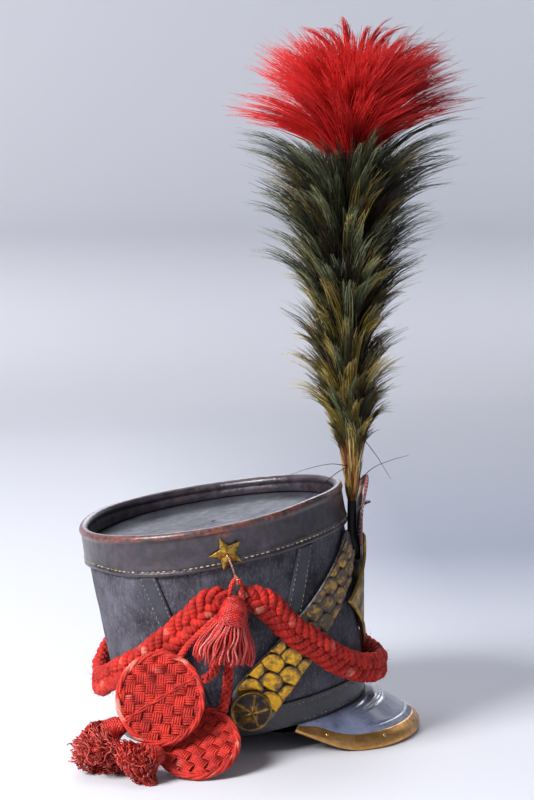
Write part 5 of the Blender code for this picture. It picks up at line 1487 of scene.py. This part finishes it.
def tufted_skirt(heap, path, wide, deep, size, flat, strands, thick, seed, spread=0.16):
    """Outer and inner strands from the head to the hem, of slightly uneven length."""
    chance = np.random.default_rng(seed)
    rows = len(path)
    share = np.linspace(0, 1, rows)
    inner, outer = chance.uniform(0.3, 0.75, strands), chance.uniform(0.88, 1.0, strands)
    layer = np.where(np.arange(strands) % 3 == 2, inner, outer)
    a = 2 * np.pi * np.arange(strands) * 0.618 + chance.normal(0, 0.06, strands)
    reach = layer[:, None] * size[None, :] - thick
    squeeze = 1 + (flat - 1) * np.clip(share * 1.5, 0, 1)
    swing = a[:, None] + chance.normal(0, spread, (strands, 1)) * share ** 1.5
    swing = swing + 0.05 * np.sin(9 * share + a[:, None] * 7)
    around = np.cos(swing)[..., None] * wide + (np.sin(swing) * squeeze)[..., None] * deep
    paths = path[None] + reach[..., None] * around
    longer = chance.normal(0, 2.2, strands)
    ends = unit(np.gradient(path, axis=0))[None] * (longer[:, None] * share ** 3)[..., None]
    tone = chance.uniform(-1.1, 0.95, (strands, 1)) + 0 * share
    return tubes(heap, paths + ends, thick * (1 + 0.25 * share - 0.15 * share ** 6), 5, tone)


# Places along the tassel's middle, and its radius from head to hem.
SIDE_AXIS = [(-15.2, -128.6, 148.5), (-17, -129.3, 132), (-20.5, -129, 115), (-25, -128.5, 93.5)]
SIDE_SIZES = [5.5, 10.0, 12.5, 14.0, 18.5, 23.0, 26.5, 28.5, 28.0]
path, wide, deep, size = tassel_axis(SIDE_AXIS, SIDE_SIZES, (0.25, -1.0, 0.0), 61)
heap = netted_head(Heap(), path[:25], wide[:25], deep[:25], size[:25], 15, 0.8, 51)
chance = np.random.default_rng(53)
pick, a = chance.integers(1, 24, 420), chance.uniform(0, 2 * np.pi, (420, 1))
outs = np.cos(a) * wide[pick] + np.sin(a) * deep[pick]
hairs(heap, path[pick] + outs * size[pick][:, None] * 0.95, outs, 3.4, 0.15, 54)
tufted_skirt(heap, path[20::2], wide[20::2], deep[20::2], size[20::2], 0.42, 136, 0.7, 52)
side_tassel = piece("side_tassel_silk", heap, SILK, ["tassel_side"])

# %% Tangled floor tassels
def tangled(heap, path, wide, deep, size, threads, thick, seed):
    """Crimped threads that wander from the head through the whole tassel and lie on the floor."""
    chance = np.random.default_rng(seed)
    rows = 24
    share = np.linspace(0, 1, rows)
    at = chance.uniform(0.0, 0.2, (threads, 1)) + share * chance.uniform(0.55, 0.95, (threads, 1))
    at = np.clip(at, 0, 1) * (len(path) - 1)
    low = np.minimum(at.astype(int), len(path) - 2)
    part = (at - low)[..., None]
    centre = path[low] * (1 - part) + path[low + 1] * part
    across, down = wide[low], deep[low]
    a = chance.uniform(0, 2 * np.pi, (threads, 1)) + chance.normal(0, 1.1, (threads, 1)) * share
    layer = chance.uniform(0.2, 1.0, (threads, 1)) ** 0.5
    stray = chance.uniform(0, 1, (threads, 1)) > 0.85
    layer = layer * (1 + 0.25 * share ** 2 * stray)
    reach = np.interp(at, np.arange(len(path)), size) * layer * 0.92
    paths = centre + reach[..., None] * (np.cos(a)[..., None] * across + np.sin(a)[..., None] * down)
    curl = 2 * np.pi * (share * chance.uniform(3, 6.5, (threads, 1)) + chance.uniform(0, 1, (threads, 1)))
    crimp = chance.uniform(0.8, 3.2, (threads, 1)) * np.clip(share * 4, 0.1, 1)
    paths = paths + crimp[..., None] * (np.cos(curl)[..., None] * across + np.sin(curl)[..., None] * down)
    paths = paths + 3.4 * shaken(paths, 13.0, seed)
    paths[..., 2] = np.maximum(paths[..., 2], thick + 0.15)
    return tubes(heap, paths, thick, 3, chance.uniform(-0.6, 0.8, (threads, 1)) + 0 * share)


AXIS_1 = [(-109.3, -134, 40.4), (-117.5, -131, 37.5), (-125.5, -133, 31), (-130.5, -139.5, 19),
          (-134, -148, 7)]
AXIS_2 = [(-78.9, -152.8, 20.1), (-88.5, -158.0, 19.5), (-98, -160, 14.5), (-109, -163.0, 5.5)]
for number, axis, sizes, threads in (
    (1, AXIS_1, [5.0, 9.0, 11.0, 17.0, 23.0, 26.0, 26.0, 23.0, 18.0], 290),
    (2, AXIS_2, [5.5, 8.5, 10.5, 15.5, 20.0, 23.0, 23.0, 21.0, 17.0], 250),
):
    path, wide, deep, size = tassel_axis(axis, sizes, (0.0, 0.0, 1.0), 61)
    head = np.maximum(size[:22], 4.0)
    heap = netted_head(Heap(), path[:22], wide[:22], deep[:22], head, 11, 0.8, 60 + number)
    tangled(heap, path[14:], wide[14:], deep[14:], size[14:], threads, 0.55, 70 + number)
    piece(f"floor_tassel_{number}_silk", heap, DARK_SILK, [f"tassel_floor_{number}"])

# %% Printing the lengths of the cords
declare(loops["right"], smooth_line(LOOP, 30))
left_loop = smooth_line(LOOP, 30) * (1.0, -1.0, 1.0)
declare(loops["left"], left_loop)
declare(stem_1, smooth_line(STEM_1, 30))
declare(stem_2, smooth_line(STEM_2, 30))
declare(stem_3, smooth_line(STEM_3, 30))

# %% [markdown]
# ## Plume
# The plume is a wire core tied round with over three thousand cock's hackles, olive-black below and dyed
# red at the top. A hackle is a narrow blade of barbs on a shaft. Here each is a sheaf of thin three-sided
# slivers that share one bent spine, spread at the middle and meet near the tip, so it has thickness and
# splits as the real ones do. Feathers sit in tufts, like the tied bundles, which gives the plume its
# ragged steps.

# %% Sheaves of slivers
def hackles(heap, roots, middles, tips, spread, slivers, thick, tone, seed, stations=5, droop=0.0):
    """Feathers given by three points each (F, 3); tone is each feather's lightness from 0 to 1."""
    chance = np.random.default_rng(seed)
    n = len(roots)
    ends = chance.uniform(0.8, 1.0, (n, slivers, 1)) * np.ones(stations)
    t = np.linspace(0, 1, stations)[None, None, :] * ends
    u = t[..., None]
    p0, p1, p2 = (p[:, None, None, :] for p in (roots, middles, tips))
    line = (1 - u) ** 2 * p0 + 2 * u * (1 - u) * p1 + u ** 2 * p2
    line = line - droop * (u ** 3) * (0.0, 0.0, 1.0)
    heading = 2 * (1 - u) * (p1 - p0) + 2 * u * (p2 - p1)
    heading = unit(heading)
    whole = tips - roots
    round_ = unit(np.cross((0.0, 0.0, 1.0), whole) + 1e-6)
    face = unit(np.cross(whole, round_))
    roll = chance.normal(0, 0.55, (n, 1))
    side = (np.cos(roll) * round_ + np.sin(roll) * face)[:, None, None, :]
    side = unit(side - heading * (side * heading).sum(-1, keepdims=True))
    over = np.cross(side, heading)
    place = np.linspace(-1, 1, slivers)[None, :, None] + chance.normal(0, 0.08, (n, slivers, 1))
    swell = np.sin(np.pi * np.clip(t, 0, 1) ** 0.75) ** 0.8 * 0.92 + 0.08
    width = np.broadcast_to(np.asarray(spread, float).reshape(-1, 1, 1), (n, 1, 1))
    line = line + side * (place * width * swell)[..., None]
    line = line - over * (0.35 * np.abs(place) * width * swell)[..., None]
    line = line + chance.normal(0, 0.5, (n, slivers, 1, 3)) * u ** 2 * width[..., None] * 0.35
    taper = 0.45 + 0.55 * np.sin(np.pi * np.clip(t / ends, 0, 1) ** 0.6)
    radii = thick * taper * (1 - 0.6 * (t / ends) ** 4)
    # Each feather's random tone plus a rise from root to tip: painted shade on the roots inside the plume,
    # painted light on the tips.
    mark = tone.reshape(-1, 1, 1) * 0.8 + 0.45 * t - 0.15 + chance.normal(0, 0.07, (n, slivers, 1))
    rows = (n * slivers, stations)
    frames = side.reshape(*rows, 3), over.reshape(*rows, 3)
    mark = np.clip(mark, 0, 1).reshape(rows)
    return tubes(heap, line.reshape(*rows, 3), radii.reshape(rows), 3, mark, 0.3, frames, math.pi / 2)


def plume_axis(z):
    return PLUME_X - 7.0 * np.sin(np.pi * np.clip((z - 248.0) / 310.0, 0, 1))


def tied(tiers, height, reach, base, turn, chance, lift=0.4, sink=0.0):
    """Roots, middles and tips of feathers tied between tiers; reach and base are 0 to 1."""
    table = np.array(tiers, float)
    keys = np.arange(len(table))
    z0 = np.interp(height, keys, table[:, 0]) + chance.normal(0, 3.0, len(height)) - sink
    z2 = np.interp(height, keys, table[:, 1])
    r2 = np.interp(height, keys, table[:, 2]) * reach
    z2 = z0 + (z2 - z0) * (1.0 + lift * (1 - reach)) + chance.normal(0, 3.0, len(height))
    r0 = base
    r1, z1 = r0 + 0.28 * (r2 - r0), z0 + 0.74 * (z2 - z0)
    turned = turn + chance.normal(0, 0.05, len(height))

    def at(r, z, a):
        return np.stack([plume_axis(z) + r * np.cos(a), r * np.sin(a), z], -1)

    return at(r0, z0, turn), at(r1, z1, turn), at(r2, z2, turned)


# %% Dark core under the feathers, painted as shade
def core_rows(tiers, foot, head, share, least):
    table = np.array(tiers, float)
    rows = [foot]
    for z in np.linspace(foot[0] + 6, head[0] - 6, 24):
        rows.append((z, max(least, share * np.interp(z, (table[:, 0] + table[:, 1]) / 2, table[:, 2]))))
    return rows + [head]


# Height of the foot, height of the tip and reach of each tier of feathers.
GREEN_TIERS = [
    (249, 262, 17), (257, 284, 31), (272, 312, 45), (294, 346, 52), (322, 380, 56),
    (352, 411, 63), (382, 448, 77), (414, 484, 90), (446, 516, 100), (474, 538, 109),
]
RED_TIERS = [(513, 562, 113), (518, 588, 95), (524, 607, 76), (540, 621, 50), (556, 631, 24)]


def bent_core(rows, name, material):
    heap = turned_upright(rows, 32)
    points = heap.points[0]
    points[:, 0] += plume_axis(points[:, 2]) - PLUME_X
    piece(name, heap, material)


# The core stands for the wire core and the packed feathers round it, in the darkest foot colour: painted
# shade of the plume's inside.
rows = core_rows(GREEN_TIERS, (248.0, 5.0), (512.0, 6.0), 0.22, 5.0)
bent_core(rows, "plume_shaded_core_green", GREEN)
rows = core_rows(RED_TIERS, (513.0, 8.0), (590.0, 4.0), 0.1, 4.0)
bent_core(rows, "plume_shaded_core_red", RED)

# %% Natural hackles, olive, silvery and brown-black
# Tufts set a golden angle apart, in radians, never stand in rows.
GOLDEN_TURN = 2.39996


def natural(name, material, low, high, tufts, each, slivers, seed, inner=0.5, stands_for=()):
    chance = np.random.default_rng(seed)
    count = tufts * each
    tuft = np.repeat(np.arange(tufts), each)
    height = (low + (high - low) * (np.arange(tufts) + chance.uniform(0, 1, tufts)) / tufts)[tuft]
    turn = (np.arange(tufts) * GOLDEN_TURN + seed)[tuft] + chance.normal(0, 0.09, count)
    reach = chance.uniform(0.72, 1.12, tufts)[tuft] * chance.uniform(inner, 1.0, count) ** 0.5
    height = np.clip(height + chance.normal(0, 0.12, count), 0, 9)
    roots, middles, tips = tied(
        GREEN_TIERS, height, reach, 4.0 + 1.1 * height, turn, chance, sink=10.0 + 1.2 * height)
    tone = chance.uniform(-0.1, 0.8, tufts)[tuft] + chance.normal(0, 0.22, count)
    spread, droop = chance.uniform(2.0, 4.6, count), 1.0 + height[:, None, None, None]
    heap = hackles(Heap(), roots, middles, tips, spread, slivers, 0.6, tone, seed + 1, droop=droop)
    piece(name, heap, material, stands_for)


natural("green_hackles_low", GREEN, 0.0, 5.6, 46, 7, 5, 81, stands_for=["plume_green"])
natural("olive_hackles_low", OLIVE, 0.0, 5.2, 54, 7, 5, 82)
natural("brown_hackles_low", BROWN, 0.2, 5.6, 40, 6, 3, 83, 0.2)
natural("green_hackles_high", GREEN, 5.0, 9.0, 80, 7, 5, 84)
natural("olive_hackles_high", OLIVE, 4.6, 8.4, 24, 6, 5, 85)
natural("brown_hackles_high", BROWN, 5.0, 9.0, 52, 7, 3, 86, 0.2)

# %% Longer locks that break the outline
# Where a lock ends, as (x, y, z) in mm: these are the tips that stand against the light at both sides.
LOCKS = {
    GREEN: [(-9, 0, 535), (-2, 12, 528), (12, -14, 498), (7, 6, 482), (3, -10, 471), (6, 0, 429),
            (210, 0, 545), (203, 14, 528), (198, -12, 519), (192, 8, 489), (186, -16, 507), (178, 0, 471),
            (190, 10, 457), (172, -8, 441), (28, 40, 500), (170, 45, 500)],
    OLIVE: [(33, 0, 410), (40, -8, 355), (31, 4, 339), (42, 0, 313), (48, -6, 303), (161, 0, 419),
            (161, -12, 407), (153, 6, 391), (140, 0, 352), (147, -6, 324), (138, 5, 302), (138, -8, 290),
            (60, -48, 380), (128, -50, 372)],
    RED: [(-12, 0, 551), (-6, 10, 558), (-1, 5, 567), (9, -5, 586), (13, 12, 578), (22, 0, 604),
          (37, -8, 612), (48, 4, 621), (66, 0, 624), (84, 0, 628), (122, 0, 626), (138, 6, 624),
          (150, 0, 621), (166, -6, 616), (182, 0, 610), (196, 6, 596), (206, 0, 581), (210, 0, 563)],
}
for material, ends in LOCKS.items():
    chance = np.random.default_rng(len(ends))
    tips = np.repeat(np.array(ends, float), 6, axis=0)
    out = tips[:, 0] - PLUME_X
    far = np.hypot(out, tips[:, 1])
    height = tips[:, 2] - 26.0 - 0.42 * far + chance.normal(0, 5.0, len(tips))
    height = np.maximum(height, 504.0 if material is RED else 246.0)
    ways = np.stack([out, tips[:, 1]], -1) / far[:, None]
    roots = np.stack([plume_axis(height) + 5 * ways[:, 0], 5 * ways[:, 1], height], -1)
    reach = 0.42 * far
    crest = tips[:, 2] + 4 - 0.03 * far
    middles = np.stack([plume_axis(height) + reach * ways[:, 0], reach * ways[:, 1], crest], -1)
    shifts = chance.normal(0, 1, tips.shape) * (3.5, 4.0, 3.5)
    inwards = 7.0 * chance.uniform(0, 1, (len(tips), 1)) * np.column_stack([ways, 0 * far])
    tips = tips + shifts - inwards
    spread, tone = chance.uniform(1.6, 3.4, len(tips)), chance.uniform(0.1, 0.8, len(tips))
    heap = hackles(Heap(), roots, middles, tips, spread, 4, 0.62, tone, 88, 6)
    name = {GREEN: "green", OLIVE: "olive", RED: "red"}[material]
    piece(f"{name}_locks", heap, material)

# %% Straw-coloured quills at the foot and loose quills
def quills(name, material, count, seed, highest, spread):
    chance = np.random.default_rng(seed)
    a = chance.uniform(0, 2 * np.pi, count)
    top, low = chance.uniform(228, highest, count), chance.uniform(205, 214, count)
    r0, r2 = 3.6 + 0 * a, 4.5 + (top - 228.0) * spread + chance.uniform(0.0, 4.0, count)

    def at(r, z):
        return np.stack([PLUME_X + r * np.cos(a), r * np.sin(a), z + 0 * r], -1)

    middles, tone = at(r0 + 2.4, (low + top) / 2), chance.uniform(0, 1, count)
    heap = hackles(Heap(), at(r0, low), middles, at(r2, top), 0.9, 3, 0.5, tone, seed + 1)
    piece(name, heap, material)


quills("straw_quills", STRAW, 100, 7, 282.0, 0.16)
quills("rust_quills", RUST, 60, 17, 300.0, 0.2)
# Places along four single quills that stand away from the plume.
LOOSE = [
    [(96, -6, 238), (80, -12, 241), (60, -16, 238), (40, -18, 232)],
    [(95, -6, 237), (84, -12, 232), (69, -16, 220), (57, -18, 212)],
    [(106, -4, 224), (118, -8, 236), (132, -12, 243), (149, -14, 248)],
    [(110, -2, 262), (122, -6, 246), (128, -8, 236), (134, -9, 226)],
]
heap = Heap()
for line in LOOSE:
    tubes(heap, smooth_line(line, 30)[None], np.linspace(0.42, 0.16, 30), 5, 0.1)
piece("loose_quills", heap, BROWN)

# %% Dyed red hackles
# Height of the foot, height of the tip and reach of each row of the fan.
RED_FAN = [(502, 552, 114), (504, 582, 109), (506, 606, 98), (508, 621, 80), (510, 628, 46)]


def dyed(name, low, high, tufts, each, slivers, seed, inner=0.6, stands_for=()):
    chance = np.random.default_rng(seed)
    count = tufts * each
    tuft = np.repeat(np.arange(tufts), each)
    height = (low + (high - low) * chance.uniform(0, 1, tufts))[tuft]
    turn = (np.arange(tufts) * GOLDEN_TURN)[tuft] + chance.normal(0, 0.1, count)
    reach = chance.uniform(0.88, 1.07, tufts)[tuft] * chance.uniform(inner, 1.0, count) ** 0.5
    height = np.clip(height + chance.normal(0, 0.15, count), 0, 4)
    roots, middles, tips = tied(RED_FAN, height, reach, 6.0, turn, chance, -0.1)
    tone = chance.uniform(0.1, 0.8, tufts)[tuft] + chance.normal(0, 0.15, count)
    spread = chance.uniform(2.4, 5.4, count)
    heap = hackles(Heap(), roots, middles, tips, spread, slivers, 0.64, tone, seed + 1, droop=3.0)
    piece(name, heap, RED, stands_for)


dyed("red_hackles_outer", 0.0, 2.6, 92, 7, 5, 91, stands_for=["plume_red"])
dyed("red_hackles_inner", 1.6, 4.0, 72, 6, 4, 92, 0.25)
